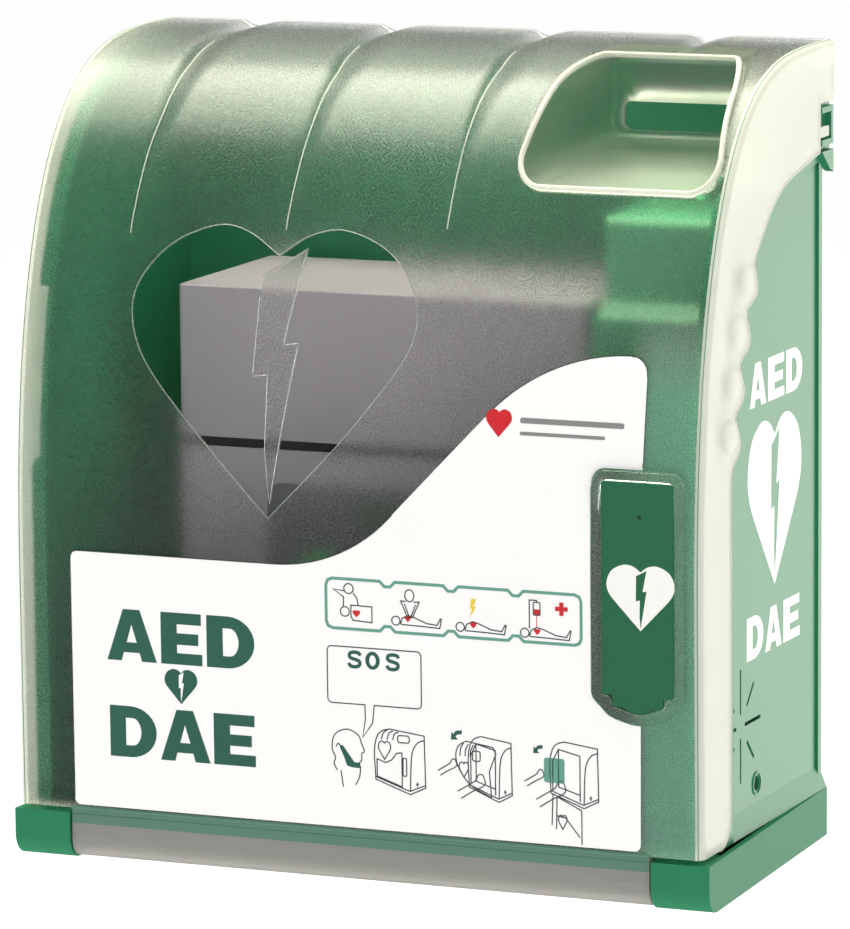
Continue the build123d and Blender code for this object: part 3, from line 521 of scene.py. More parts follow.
HEART = curve_through(
    [(-126.2, 285.7), (-124.5, 305.2), (-108.6, 324.8), (-84.3, 335.2), (-65.8, 332.6), (-47.3, 321.5),
     (-31.5, 332), (-12.5, 335.4), (10.9, 327.2), (26.4, 311.8), (32.5, 292), (24.5, 269.5), (-7, 229.5),
     (-46.1, 188.7), (-85.5, 229), (-115.5, 262.5)], corners=(5, 13), steps=7)
BOLT = [(-31.8, 325.6), (-40.4, 277.2), (-32, 278.7), (-45.3, 196), (-48.2, 223), (-48.1, 262.1),
        (-56.4, 260.8), (-55.3, 311.2)]

POCKET_BACK = -35.5
POCKET_SLOPE = 0.087
CORNER_STEPS = 8
MOUTH = [(73.5, 371.0), (185.6, 371.0), (175.0, 423.2), (81.0, 423.2)]
FLOOR = [(76.5, 372.5), (183.5, 372.5), (172.5, 419.0), (83.0, 419.0)]


def dense(points, radius, edge=9):
    """A rounded polygon with extra points along its sides, always the same number."""
    loop = rounded(points, radius, CORNER_STEPS)
    out = []
    per = CORNER_STEPS + 1
    for i in range(len(points)):
        corner = loop[i * per:(i + 1) * per]
        nxt = loop[(i + 1) % len(points) * per]
        out += corner
        a, b = Vector(corner[-1]), Vector(nxt)
        out += [tuple(a.lerp(b, k / edge)) for k in range(1, edge)]
    return out


def mouth_on_skin():
    """The pocket's mouth as (x, arc length), from its outline sent forward down a slight slope."""
    usable = PY < -52
    level = PZ[usable] + POCKET_SLOPE * (POCKET_BACK - PY[usable])
    return [(x, float(np.interp(z, level, S[usable]))) for x, z in dense(MOUTH, 14.0)]


MOUTH_LOOP = mouth_on_skin()
NICKS = [(-120.8, 322.0), (-132.5, 298.0), (-142.6, 272.5), (-149.2, 246.5), (-153.8, 221.0)]
LOBES = [(-117.8, 306.5), (-128.6, 282.0), (-136.8, 257.0), (-142.6, 231.5)]
GRIPS = ((-136.0, 313.5), (-147.5, 289.5), (-154.5, 264.0), (-160.0, 238.0))


def grip_height(y, z):
    """The four low domes beside the skirt's edge."""
    for cy, cz in GRIPS:
        dy, dz = y - cy, z - cz
        u, v = 0.97 * dy - 0.24 * dz, 0.24 * dy + 0.97 * dz
        ratio = (u / 14.5) ** 2 + (v / 10.0) ** 2
        if ratio < 1:
            return 2.3 * (1 - ratio) ** 0.8
    return 0.0


def skin_rows():
    rows = list(np.linspace(0, s_at_height(SHOULDER), 14))
    step = 3.4
    count = int((S_END - rows[-1]) / step)
    return rows + list(np.linspace(rows[-1], S_END, count + 1)[1:])


ROWS = skin_rows()


def clear_of(points, lines, gap):
    """The points that keep a distance from every line."""
    solid = np.concatenate([np.asarray(l, float) for l in lines])
    pts = np.asarray(points, float)
    keep = np.ones(len(pts), bool)
    for start in range(0, len(pts), 2000):
        part = pts[start:start + 2000]
        near = np.min(((part[:, None, :] - solid[None]) ** 2).sum(axis=2), axis=1)
        keep[start:start + 2000] = near > gap ** 2
    return [tuple(p) for p in pts[keep]]


def finely(loop, step):
    """A closed line with points no further apart than step."""
    out = []
    for a, b in zip(loop, loop[1:] + loop[:1]):
        a, b = Vector(a), Vector(b)
        parts = max(1, int((b - a).length / step + 0.5))
        out += [tuple(a.lerp(b, k / parts)) for k in range(parts)]
    return out


def front_skin():
    """The front and top as points, triangles and material numbers."""
    heart = finely([(x, s_at_height(z)) for x, z in HEART], 3.0)
    bolt = finely([(x, s_at_height(z)) for x, z in BOLT], 3.0)
    edge = [(-SKIN_HALF, s) for s in ROWS]
    across = list(np.linspace(-SKIN_HALF, SKIN_HALF, 90))
    rim = ([(x, 0.0) for x in across] + [(SKIN_HALF, s) for s in ROWS[1:]]
           + [(x, S_END) for x in across[-2::-1]] + [p for p in edge[-2:0:-1]])
    grid, chains = [], []
    for index in range(4):
        foot = LINES[index][0][0]
        rows = [s for s in ROWS if s > foot + 1]
        chains.append([(groove_at(index, s)[0], s) for s in rows])
        for s in rows:
            middle, depth, left, right = groove_at(index, s)
            for t in (0.06, 0.15, 0.28, 0.42, 0.58, 0.75, 0.9, 1.0):
                grid.append((middle + t * right, s))
            for t in (0.1, 0.25, 0.45, 0.7, 1.0):
                grid.append((middle - t * left, s))
    for s in ROWS[1:-1]:
        spans = [(m - l - 2.2, m + r + 2.2) for m, d, l, r in (groove_at(i, s) for i in range(4)) if d > 0]
        for x in across[1:-1]:
            if not any(a < x < b for a, b in spans):
                grid.append((x, s))
    chains = [clear_of(c, [MOUTH_LOOP], 1.5) for c in chains]
    grid = [g for g in grid if 1.0 < g[1] < S_END - 1.0 and abs(g[0]) < SKIN_HALF - 0.8]
    chains = [[p for p in c if p[1] < S_END - 0.5] for c in chains]
    grid = clear_of(grid, [heart, bolt, MOUTH_LOOP], 1.3)
    grid = clear_of(grid, chains, 0.3)
    flat, faces = triangulate([rim, heart, bolt, MOUTH_LOOP], grid, chains)
    middles = flat[faces].mean(axis=1)
    keep = inside(middles, rim) & ~inside(middles, MOUTH_LOOP)
    faces, middles = faces[keep], middles[keep]
    clear = inside(middles, heart) & ~inside(middles, bolt)
    points = [on_cover(x, s, -dent(x, s)) for x, s in flat]
    return points, faces.tolist(), clear.astype(int).tolist()


def skirt_loop():
    """The skirt's outline in (y, z): the inner end of the crease, then the cut-away edge."""
    top = [on_cover(0, s, -CREASE)[1:] for s in ROWS]
    waves = []
    for nick, lobe in zip(NICKS, LOBES):
        waves += [nick, lobe]
    waves.append(NICKS[-1])
    concave = curve_through([(-60, 360), (-80, 354.5), (-96, 345.5), (-110, 333.5)] + waves
                            + [(-156.4, 210)], steps=6, closed=False)
    edge = [(COVER_BACK, 391.5), (-23, 391.5), (-23, 366.5)] + concave
    edge += [(-157, 42.5), (-158, 37.5), (-161, 33.0), (-165, 30.0), (-170, COVER_FOOT)]
    return top, edge


def skirt(hand):
    top, edge = skirt_loop()
    fine_edge = []
    for a, b in zip(edge, edge[1:]):
        a, b = Vector(a), Vector(b)
        parts = max(1, int((b - a).length / 5.0 + 0.5))
        fine_edge += [tuple(a.lerp(b, k / parts)) for k in range(parts)]
    fine_edge.append(edge[-1])
    loop = list(top) + fine_edge
    spots = []
    for cy, cz in GRIPS:
        for ring_size in (1.0, 0.86, 0.68, 0.48, 0.26):
            count = max(8, int(34 * ring_size))
            for k in range(count):
                a = 2 * pi * k / count
                u, v = 14.5 * ring_size * cos(a), 10.0 * ring_size * sin(a)
                spots.append((cy + 0.97 * u + 0.24 * v, cz - 0.24 * u + 0.97 * v))
        spots.append((cy, cz))
    for y in np.arange(-196, -4, 7.0):
        for z in np.arange(34, 420, 7.0):
            if not any((y - cy) ** 2 + (z - cz) ** 2 < 20 ** 2 for cy, cz in GRIPS):
                spots.append((y, z))
    spots = clear_of(spots, [finely(loop, 2.0)], 1.6)
    flat, faces = triangulate([loop], spots)
    faces = faces[inside(flat[faces].mean(axis=1), loop)]
    points = [(hand * (COVER_HALF + grip_height(y, z)), y, z) for y, z in flat]
    return points, faces.tolist()


def crease(hand):
    points, faces = [], []
    steps = 5
    for s in ROWS:
        for k in range(steps + 1):
            a = pi / 2 * k / steps
            points.append(on_cover(hand * (SKIN_HALF + CREASE * sin(a)), s, -CREASE * (1 - cos(a))))
    for i in range(len(ROWS) - 1):
        for k in range(steps):
            a, b = i * (steps + 1) + k, (i + 1) * (steps + 1) + k
            faces.append((a, a + 1, b + 1, b))
    return points, faces


def pocket():
    """Walls from the mouth to the back, and a back wall with a window in it."""
    mouth = [on_cover(x, s, -dent(x, s)) for x, s in MOUTH_LOOP]
    back = dense(FLOOR, 10.0)
    inner = dense([(a + (130 - a) * 0.045, b + (396 - b) * 0.09) for a, b in FLOOR], 8.0)
    loops = [mouth]
    for t in (0.03, 0.1, 0.25, 0.45, 0.65, 0.82, 0.94):
        loops.append([tuple(np.array(m) * (1 - t) + np.array((x, POCKET_BACK, z)) * t)
                      for m, (x, z) in zip(mouth, back)])
    loops.append([(x * 0.72 + u * 0.28, POCKET_BACK + 0.4, z * 0.72 + v * 0.28)
                  for (x, z), (u, v) in zip(back, inner)])
    loops.append([(x, POCKET_BACK + 1.2, z) for x, z in inner])
    points = [p for loop in loops for p in loop]
    faces = bands(len(loops), len(mouth))
    window = box_loop(86, 179, 375.5, 390.5, 4.0)
    flat, cells = triangulate([inner, finely(window, 6.0)])
    middles = flat[cells].mean(axis=1)
    cells = cells[inside(middles, inner) & ~inside(middles, window)]
    first = len(points)
    points += [(x, POCKET_BACK + 1.2, z) for x, z in flat]
    faces += (cells + first).tolist()
    return points, faces


def build_cover():
    points, faces, indices = front_skin()
    for more, number in ((crease(-1), 2), (crease(1), 2), (skirt(-1), 2), (skirt(1), 2), (pocket(), 3)):
        first = len(points)
        points += more[0]
        faces += [[i + first for i in f] for f in more[1]]
        indices += [number] * len(more[1])
    mesh = mesh_of("cover_skin", points, faces, indices)
    work = bmesh.new()
    work.from_mesh(mesh)
    bmesh.ops.remove_doubles(work, verts=work.verts, dist=0.02 * MM)
    bmesh.ops.recalc_face_normals(work, faces=work.faces)
    probe = min(work.faces, key=lambda f: (f.calc_center_median() - Vector(at(0, -199, 100))).length)
    if probe.normal.y > 0:
        bmesh.ops.reverse_faces(work, faces=work.faces)
    deform = work.verts.layers.deform.verify()
    for v in work.verts:
        high = v.co.z - (416.0 - SCREW_LEVEL) * MM
        near = POCKET_BACK - 45 < v.co.y / MM < POCKET_BACK + 3 and 74 < v.co.x / MM < 184
        v[deform][0] = 0.3 if near and -0.004 < high < 0.0042 and v.normal.z < -0.3 else 1.0
    work.to_mesh(mesh)
    work.free()
    made = moulded(mesh, FROST, CLEAR, SKIRT, POCKET)
    made.vertex_groups.new(name="wall")
    thick = made.modifiers.new("wall", "SOLIDIFY")
    thick.thickness = WALL * MM
    thick.offset = -1
    thick.vertex_group = "wall"
    thick.thickness_vertex_group = 0.0
    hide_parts("cover_shell")
    return made


build_cover()

# Beads: round the pocket's mouth, and along the skirts' cut edges
MOUTH_BEAD = 1.5
EDGE_BEAD = 1.25
EDGE_INSET = 0.9
LATCH_LAYERS = (187.4, 187.7, 189.7, 190.1)
SIDES = ((-1, "left"), (1, "right"))

mouth = [on_cover(x, s, -dent(x, s) + 0.1) for x, s in MOUTH_LOOP]
moulded(tube("cover_pocket_bead", mouth, MOUTH_BEAD), SKIRT)
for hand, side in SIDES:
    path = [(hand * (COVER_HALF - EDGE_INSET), y - EDGE_INSET, z) for y, z in skirt_loop()[1][2:]]
    moulded(tube(f"cover_edge_bead_{side}", path, EDGE_BEAD, closed=False), SKIRT)
    tab = [[(hand * x, y, z) for y, z in box_loop(-25, -9, 373.5, 378.9, 1.2, 4)] for x in LATCH_LAYERS]
    moulded(lathe(f"cover_latch_{side}", tab, smooth=False), SKIRT)

# A fine dark seam where each skirt meets the front
for hand, side in SIDES:
    path = [on_cover(hand * (SKIN_HALF + 1.5), s, -0.32) for s in ROWS]
    moulded(tube(f"cover_seam_{side}", path, 0.28, closed=False, sides=6), BAR_OVER_TRAY)

# A fine crease down each of the three long grooves
for index in range(3):
    line = [(groove_at(index, s)[0], s) for s in np.arange(LINES[index][0][0] - 7, S_END - 60, 3.0)]
    path = [on_cover(x, s, 0.1 - dent(x, s)) for x, s in line]
    moulded(tube(f"cover_crease_{index + 1}", path, 0.32, closed=False, sides=6), SKIRT)

# Fine raised edges round the clear heart and its bolt
for kind, outline in (("heart", HEART), ("bolt", BOLT)):
    path = [on_front(x, z, -0.1) for x, z in finely(outline, 2.5)]
    moulded(tube(f"cover_{kind}_edge", path, 0.24, sides=6), BEAD)

# ---------------- hinge bar

BAR_TINT_FOOT = 20.2
PIN_Y = -190
PIN_Z = 14
PIN_BORE = 4.1


def bar_section():
    outer = [(-198.4, 30.0), (-199.0, 28.9), (-197.1, 27.6)]
    outer += [(-197.0, 25.4), (-197.3, 25.1), (-197.0, 24.8), (-197.0, BAR_TINT_FOOT), (-197.0, 11.2)]
    outer += [(-187 - 10 * cos(a), 11.2 - 10 * sin(a)) for a in np.linspace(0, pi / 2, 9)[1:]]
    outer += [(-182.4, 1.2), (-182.4, 3.7)]
    outer += [(-187 - 7.5 * cos(a), 11.2 - 7.5 * sin(a)) for a in np.linspace(pi / 2, 0, 9)]
    return outer + [(-194.5, 30.0)]


def hinge_bar():
    section = bar_section()
    spans = [-161.3, -161.0, -158.8, 158.8, 161.0, 161.3]
    loops = [[(x, y, z) for y, z in section] for x in spans]
    bar = moulded(lathe("cover_hinge_bar", loops, smooth=False), BAR, BAR_OVER_TRAY)
    front, foot = at(0, -196, BAR_TINT_FOOT)[1:]
    for face in bar.data.polygons:
        face.material_index = int(face.center.z > foot and face.center.y < front)
    plate = rounded([(-194.4, 11.2), (-191.5, 3.9), (-187.0, 3.6), (-182.4, 3.6), (-182.4, 15), (-188, 23.5),
                     (-194.4, 28.0)], [2, 2, 0, 0, 4, 4, 0], 4)
    bore = ring(PIN_Y, PIN_Z, PIN_BORE, steps=28)
    boss = ring(PIN_Y, PIN_Z, 7.3, steps=28)
    for hand, side in SIDES:
        for kind, shape, low, high in (("plate", [plate, bore], 158.8, 161.2),
                                       ("boss", [bore, boss], 141.3, 158.8)):
            mesh = slab(f"cover_bar_{kind}_{side}", [shape], lambda u, v, h: (hand * h, u, v), low, high)
            moulded(mesh, BAR)


hinge_bar()

# ---------------- sign on the front right

SIGN_BLEND = 4.0
SIGN_X = 156.6
SIGN_Z = 145


def sign_gap(x, z, grow):
    """How far a point lies outside the sign's outline, grown by some millimetres."""
    def tablet(cx, cz, w, h, r):
        qx, qz = abs(x - cx) - w / 2 + r, abs(z - cz) - h / 2 + r
        return np.hypot(max(qx, 0), max(qz, 0)) + min(max(qx, qz), 0) - r - grow
    bump = (np.hypot((x - SIGN_X) / (17.0 + grow), (z - 111.5) / (15.6 + grow)) - 1) * 15
    nearest = sorted((tablet(SIGN_X, 165, 50, 120, 7), tablet(SIGN_X, 112, 39, 26, 8), bump))
    blend = max(0.0, 1 - (nearest[1] - nearest[0]) / SIGN_BLEND)
    return nearest[0] - blend ** 2 * SIGN_BLEND / 4


def sign_loop(grow, count=360):
    """The sign's outline: a tall rounded tablet with a round bump below."""
    out = []
    for k in range(count):
        a = 2 * pi * k / count
        a += 0.32 * sin(2 * a)
        low, high = 5.0, 120.0
        for _ in range(26):
            mid = (low + high) / 2
            if sign_gap(SIGN_X + mid * sin(a), SIGN_Z + mid * cos(a), grow) < 0:
                low = mid
            else:
                high = mid
        out.append((SIGN_X + low * sin(a), SIGN_Z + low * cos(a)))
    return out


# The bead's section round the sign, as (growth of the outline, y)
RING_PROFILE = ((0.0, -198.5), (0.0, -199.7), (-0.5, -200.5), (-1.5, -200.95), (-4.1, -200.95),
                (-5.1, -200.5), (-5.5, -199.8), (-5.5, -198.5), (0.0, -198.5))
bead_loops = [[(x, y, z) for x, z in sign_loop(grow)] for grow, y in RING_PROFILE]
moulded(lathe("cover_sign_bead", bead_loops, cap=False), SIGN_BEAD)
for name, grow in (("inner", -5.4), ("outer", 0.0)):
    path = [(x, -199.7, z) for x, z in sign_loop(grow)[::3]]
    moulded(tube(f"cover_sign_{name}_line", path, 0.3, sides=6), BAR_OVER_TRAY)

# The post behind the sign that carries the magnet, as (radius, y)
MAGNET_X = 157
MAGNET_Z = 130
POST = ((7.9, -196.6), (7.5, -195.5), (7.4, -152.6), (7.0, -152.1))
post = [[(x, y, z) for x, z in ring(MAGNET_X, MAGNET_Z, r)] for r, y in POST]
moulded(lathe("cover_magnet_post", post), BEAD)

# ---------------- printed shapes


def scaled(points, x, z, w, h=None):
    """The points of a unit drawing, placed at x and z and made w wide and h high."""
    h = w if h is None else h
    return [(x + a * w, z + b * h) for a, b in points]


def heart_shape(x, z, width, height, bolt=True):
    """A heart with a bolt down its middle, from its centre top and its size."""
    w, h = width / 2, height
    right = [(0.22, -0.015), (0.52, 0.0), (0.86, -0.10), (1.0, -0.29), (0.90, -0.47), (0.46, -0.735)]
    outline = [(0, -0.10)] + right + [(0, -1.0)] + [(-a, b) for a, b in reversed(right)]
    loop = scaled(curve_through(outline, corners=(0, 7), steps=5), x, z, w, h)
    if not bolt:
        return [loop]
    zig = [(0.18, -0.07), (0.06, -0.40), (0.18, -0.385), (0.0, -0.97), (-0.03, -0.78), (-0.02, -0.53),
           (-0.14, -0.545), (-0.13, -0.16)]
    return [loop, scaled(zig, x, z, w, h)]


def letter(name, x, z, w, h):
    """A heavy wide capital letter as one shape."""
    def put(*loops):
        return [scaled(loop, x, z, w, h) for loop in loops]
    if name == "A":
        return put([(0, 0), (0.29, 0), (0.335, 0.165), (0.655, 0.165), (0.70, 0), (1, 0), (0.665, 1),
                    (0.33, 1)], [(0.395, 0.36), (0.60, 0.36), (0.497, 0.71)])
    if name == "E":
        return put([(0, 0), (1, 0), (1, 0.22), (0.39, 0.22), (0.39, 0.385), (0.91, 0.385), (0.91, 0.605),
                    (0.39, 0.605), (0.39, 0.78), (0.98, 0.78), (0.98, 1), (0, 1)])
    if name == "D":
        def bow(x0, x1, z0, z1):
            middle, r, reach = (z0 + z1) / 2, (z1 - z0) / 2, (x1 - x0) * 0.56
            arc = [(x1 - reach * (1 - sin(a)), middle - r * cos(a)) for a in np.linspace(0, pi, 17)]
            return [(x0, z0)] + arc + [(x0, z1)]
        return put(bow(0, 1, 0, 1), bow(0.34, 0.67, 0.23, 0.77))
    if name == "O":
        return put(ring(0.5, 0.5, 0.5), ring(0.5, 0.5, 0.23, 0.30))
    # The letter S
    path = [(0.90, 0.73), (0.80, 0.86), (0.52, 0.90), (0.22, 0.85), (0.14, 0.70), (0.24, 0.57),
            (0.52, 0.51), (0.80, 0.43), (0.87, 0.28), (0.76, 0.14), (0.48, 0.09), (0.20, 0.14), (0.10, 0.29)]
    return stroke(scaled(curve_through(path, steps=3, closed=False), x, z, w, h), 0.23 * w)


def printed(name, shapes, ink, place=on_front, low=SHEET_FACE, high=SHEET_FACE + 0.07, body="cover",
            slot="print"):
    return show(name, slab(name, shapes, place, low, high), body, slot, ink)


# Letter, x, z, width, height
SHEET_LETTERS = (("A", -138.0, 109.2, 28.3, 27.2), ("E", -107.2, 109.2, 23.4, 27.2),
                 ("D", -81.2, 109.2, 27.0, 27.2), ("D", -137.2, 58.2, 26.6, 27.0),
                 ("A", -108.4, 58.2, 28.3, 27.0), ("E", -78.0, 58.2, 23.6, 27.0),
                 ("S", -2.2, 114.2, 8.0, 9.4), ("O", 7.8, 114.2, 8.0, 9.4), ("S", 19.0, 114.2, 8.0, 9.4))
letters = [letter(*each) for each in SHEET_LETTERS]
printed("label_letters", letters + [heart_shape(-96.2, 106.6, 18.6, 18.2)], GREEN_INK)

# The sheet's edge, up its wave and down to the sign
BEND = radians(46.5)
hollow = [(-42.0 + 87.0 * sin(a), 252.6 - 87.0 * cos(a)) for a in np.linspace(0, BEND, 14)]
crest = [(150.0 - 104.0 * sin(a), 177.3 + 104.0 * cos(a)) for a in np.linspace(BEND, 0, 16)]
corner = [(150.0 + 8.9 * sin(a), 272.4 + 8.9 * cos(a)) for a in np.linspace(0, pi / 2, 7)]
sheet_edge = [(-158.4, 34.2), (-158.4, 162.2), (-157.4, 164.6), (-155.0, 165.6)] + hollow + crest + corner
printed("label_edge", [stroke(sheet_edge + [(158.6, 226.8)], 0.5)], LINE_INK)

# Strip of four frames, joined at scalloped waists
LEFT, RIGHT, LOW, HIGH = -13.6, 126.2, 134.6, 160.4
WAISTS = (20.4, 55.4, 90.8)


def strip_outline():
    def notch(x, z, way):
        return [(x - 4.2, z), (x - 1.6, z - way * 2.6), (x + 1.6, z - way * 2.6), (x + 4.2, z)]
    path = [(LEFT + 3.5, LOW)]
    for x in WAISTS:
        path += notch(x, LOW, -1)
    path += [(RIGHT - 3.5, LOW), (RIGHT - 1, LOW + 1), (RIGHT, LOW + 3.5), (RIGHT, HIGH - 3.5),
             (RIGHT - 1, HIGH - 1), (RIGHT - 3.5, HIGH)]
    for x in reversed(WAISTS):
        path += notch(x, HIGH, 1)[::-1]
    return path + [(LEFT + 3.5, HIGH), (LEFT + 1, HIGH - 1), (LEFT, HIGH - 3.5), (LEFT, LOW + 3.5),
                   (LEFT + 1, LOW + 1)]


printed("label_frames", [stroke(strip_outline(), 1.6, closed=True)], TEAL_INK)

PEN = 0.62


def drawn(points, closed=False):
    return stroke(points, PEN, closed)


def drawn_ring(x, z, rx, rz=None):
    return drawn(ring(x, z, rx, rz, steps=20), True)


def bent(points, steps=4):
    return curve_through(points, steps=steps, closed=False)


def lying(x, z, size=27.0):
    """A figure lying on its back, drawn with a single line."""
    body = [(0.19, 0.0), (0.22, 0.10), (0.34, 0.16), (0.46, 0.13), (0.72, 0.03), (0.93, 0.01), (1.0, 0.14),
            (1.02, 0.13), (0.985, -0.045), (0.60, -0.03), (0.2, -0.02)]
    return [drawn(scaled(body, x, z, size), True),
            drawn_ring(x + 0.09 * size, z + 0.045 * size, 0.085 * size)]


def scene_lines():
    # Looking after someone who lies face up, seen from above
    lines = [drawn_ring(-1.0, 155.5, 2.6), drawn_ring(-3.2, 143.5, 2.5),
             drawn([(-3.6, 154.2), (-9.6, 154.8), (-3.8, 151.0), (-4.0, 146.2)]),
             drawn([(1.4, 153.4), (3.6, 150.8), (4.2, 147.2)]),
             drawn([(0.2, 147.0), (11.8, 146.8), (11.8, 138.6), (1.4, 139.2), (0.2, 141.0)], True)]
    # Pressing on the chest
    lines += lying(22.6, 139.4)
    lines += [drawn_ring(32.6, 154.0, 2.5, 3.1),
              drawn([(30.6, 150.9), (27.8, 151.0), (31.4, 142.8), (34.2, 142.8), (38.0, 151.0),
                          (34.8, 150.9)]),
              drawn([(29.8, 149.6), (32.2, 143.6)]), drawn([(36.0, 149.6), (33.6, 143.6)])]
    # A shock, then the handover
    lines += lying(58.0, 138.6)
    lines += lying(93.2, 138.0)
    lines += [drawn([(98.2, 141.6), (98.2, 156.2), (102.2, 156.2), (102.2, 155.0)]),
              drawn(box_loop(100.4, 104.0, 148.6, 155.2, 0.6, 3), True)]
    return lines


def person_calling():
    """A plain head from the side with a handset held to it."""
    head = bent([(-8.6, 60.2), (-10.4, 63.8), (-9.6, 67.0), (-11.4, 72.0), (-9.8, 79.0), (-3.0, 82.2),
                 (3.2, 79.6), (5.0, 75.4), (6.6, 71.4), (5.2, 70.0), (5.0, 66.6), (3.4, 64.8)])
    neck = [(-6.6, 60.4), (-5.4, 51.8)]
    hand = bent([(1.6, 53.4), (3.8, 58.0), (4.4, 63.2)], 3)
    ear = bent([(-9.2, 72.6), (-8.0, 74.4), (-6.6, 73.2)], 3)
    return [drawn(line) for line in (head, neck, hand, ear)]


def small_cabinet(x, z, w, h, door="shut"):
    """The cabinet in outline: with its door shut, or as the open casing."""
    def put(points, closed=False):
        return drawn(scaled(points, x, z, w, h), closed)
    lines = [put(bent([(0.02, 0.24), (0.0, 0.64), (0.05, 0.86), (0.15, 0.96), (0.30, 1.0)])
                 + [(0.98, 0.93), (1.0, 0.12), (0.70, 0.0), (0.02, 0.20)], True),
             put(bent([(0.98, 0.86), (0.86, 0.82), (0.76, 0.70), (0.72, 0.50), (0.70, 0.05)])),
             put([(0.02, 0.24), (0.69, 0.05), (1.0, 0.16)]),
             put([(0.84, 0.20), (0.84, 0.13)]), put([(0.81, 0.165), (0.87, 0.165)])]
    if door == "shut":
        lines += [put(bent([(a + 0.10, 0.985 - i * 0.012), (a + 0.02, 0.93), (a - 0.02, 0.83)]))
                  for i, a in enumerate((0.16, 0.27, 0.38))]
        lines += [put(box_loop(0.46, 0.69, 0.80, 0.91, 0.04, 3), True),
                  put(box_loop(0.56, 0.63, 0.28, 0.56, 0.02, 3), True),
                  heart_outline(x + 0.20 * w, z + 0.80 * h, 0.24 * w, 0.28 * h),
                  put([(0.05, 0.52), (0.22, 0.47), (0.34, 0.52), (0.44, 0.63), (0.54, 0.64), (0.54, 0.11),
                       (0.05, 0.25)], True)]
    else:
        lines += [put([(0.06, 0.25), (0.06, 0.70), (0.18, 0.88), (0.62, 0.80), (0.62, 0.10)]),
                  put([(0.18, 0.88), (0.18, 0.30), (0.62, 0.20)])]
    return lines


def heart_outline(x, z, w, h):
    return stroke(heart_shape(x, z, w, h, bolt=False)[0], PEN, True)


def arm(x, z, size):
    """A forearm that reaches up to a rounded hand."""
    upper = [(0, 0), (0.45, 0.28), (0.62, 0.40), (0.72, 0.58), (0.86, 0.60), (0.92, 0.48)]
    lower = [(0.12, -0.22), (0.56, 0.06), (0.84, 0.20), (0.96, 0.34), (0.92, 0.48)]
    return [drawn(scaled(bent(line), x, z, size)) for line in (upper, lower)]


def step_drawings():
    # The cover tips forward in two hands, then the unit is lifted out over it
    tilted = bent([(76.6, 52.6), (66.0, 57.6), (59.6, 65.0), (57.2, 72.4), (58.6, 78.0), (63.0, 80.8)], 3)
    tilted += [(77.6, 78.6), (79.2, 75.4), (75.6, 66.0)]
    hanging = [(110.2, 56.8), (109.6, 41.0)], [(112.4, 55.8), (112.0, 39.0)], [(125.8, 49.6), (125.8, 32.0)]
    lines = small_cabinet(12.2, 50.6, 28.2, 33.4)
    lines += small_cabinet(64.0, 50.4, 24.0, 33.4, door="open")
    lines += [drawn(tilted, True), heart_outline(61.6, 69.8, 5.2, 7.8),
              stroke(box_loop(66.4, 70.6, 70.8, 76.0, 1.0, 3), PEN, True)]
    lines += [drawn([(x, 79.8 - i * 0.3), (x - 1.6, 76.8 - i * 0.3), (x - 1.9, 73.0)])
              for i, x in enumerate((61.4, 64.2, 67.0))]
    lines += arm(47.2, 64.4, 11.0) + arm(58.0, 54.4, 16.0)
    lines += small_cabinet(108.6, 50.8, 26.4, 33.6, door="open")
    lines += [drawn(line) for line in hanging]
    lines += [drawn([(112.4, 55.8), (125.8, 49.6)]), heart_outline(115.4, 46.4, 4.6, 7.2),
              drawn([(112.2, 46.0), (117.0, 45.2), (124.8, 35.6)])]
    lines += arm(94.8, 62.6, 11.0) + arm(101.0, 53.6, 17.0)
    return lines


BUBBLE_CORNERS = [(-13.4, 125.2), (38.6, 125.2), (38.6, 95.6), (12.4, 95.6), (11.4, 86.4), (5.8, 78.6),
                  (7.4, 88.0), (7.2, 95.6), (-13.4, 95.6)]
BUBBLE = [drawn(rounded(BUBBLE_CORNERS, [2.4, 2.4, 2.4, 0, 1.5, 0, 1.5, 0, 2.4], 4), True)]
printed("label_drawings", scene_lines() + BUBBLE + person_calling() + step_drawings(), LINE_INK)

HANDSET = [(-7.4, 73.2), (-5.6, 73.8), (1.0, 65.2), (4.2, 65.0), (4.4, 62.2), (-0.4, 62.4), (-3.2, 63.2),
           (-4.6, 67.2)]


def arrow(x, z, size):
    shape = [(1.0, 0.95), (1.0, 0.60), (0.60, 0.56), (0.42, 0.36), (0.66, 0.12), (0.0, 0.08), (0.06, 0.78),
             (0.22, 0.58), (0.48, 0.88)]
    return [scaled(shape, x, z, size)]


fills = [[rounded(HANDSET, 0.5, 3)], arrow(54.6, 80.6, 6.0), arrow(99.6, 77.0, 5.2)]
printed("label_fills", fills, GREEN_INK)
printed("label_unit_fill", [[box_loop(105.4, 116.6, 62.8, 75.6, 1.4, 4)]], TEAL_INK)
CROSS = [(-1, -3), (1, -3), (1, -1), (3, -1), (3, 1), (1, 1), (1, 3), (-1, 3), (-1, 1), (-3, 1), (-3, -1),
         (-1, -1)]
RED_HEARTS = ((31.6, 143.4, 3.4, 3.2), (67.6, 142.6, 3.4, 3.2), (102.4, 141.6, 3.4, 3.2),
              (3.2, 144.6, 4.2, 3.8))
reds = [heart_shape(*each, False) for each in RED_HEARTS]
reds += [[scaled(CROSS, 115.6, 152.6, 1.15)], [box_loop(100.7, 103.7, 148.9, 151.6, 0.3, 2)],
         stroke([(102.2, 148.6), (102.2, 142.6)], 0.4), heart_shape(80.5, 251.5, 14.0, 14.0, False)]
printed("label_reds", reds, RED_INK)
printed("label_bolt", [[[(69.2, 154.6), (66.6, 154.8), (65.8, 149.6), (67.0, 149.8), (65.6, 144.8),
                         (69.2, 150.6), (67.8, 150.6)]]], YELLOW_INK)
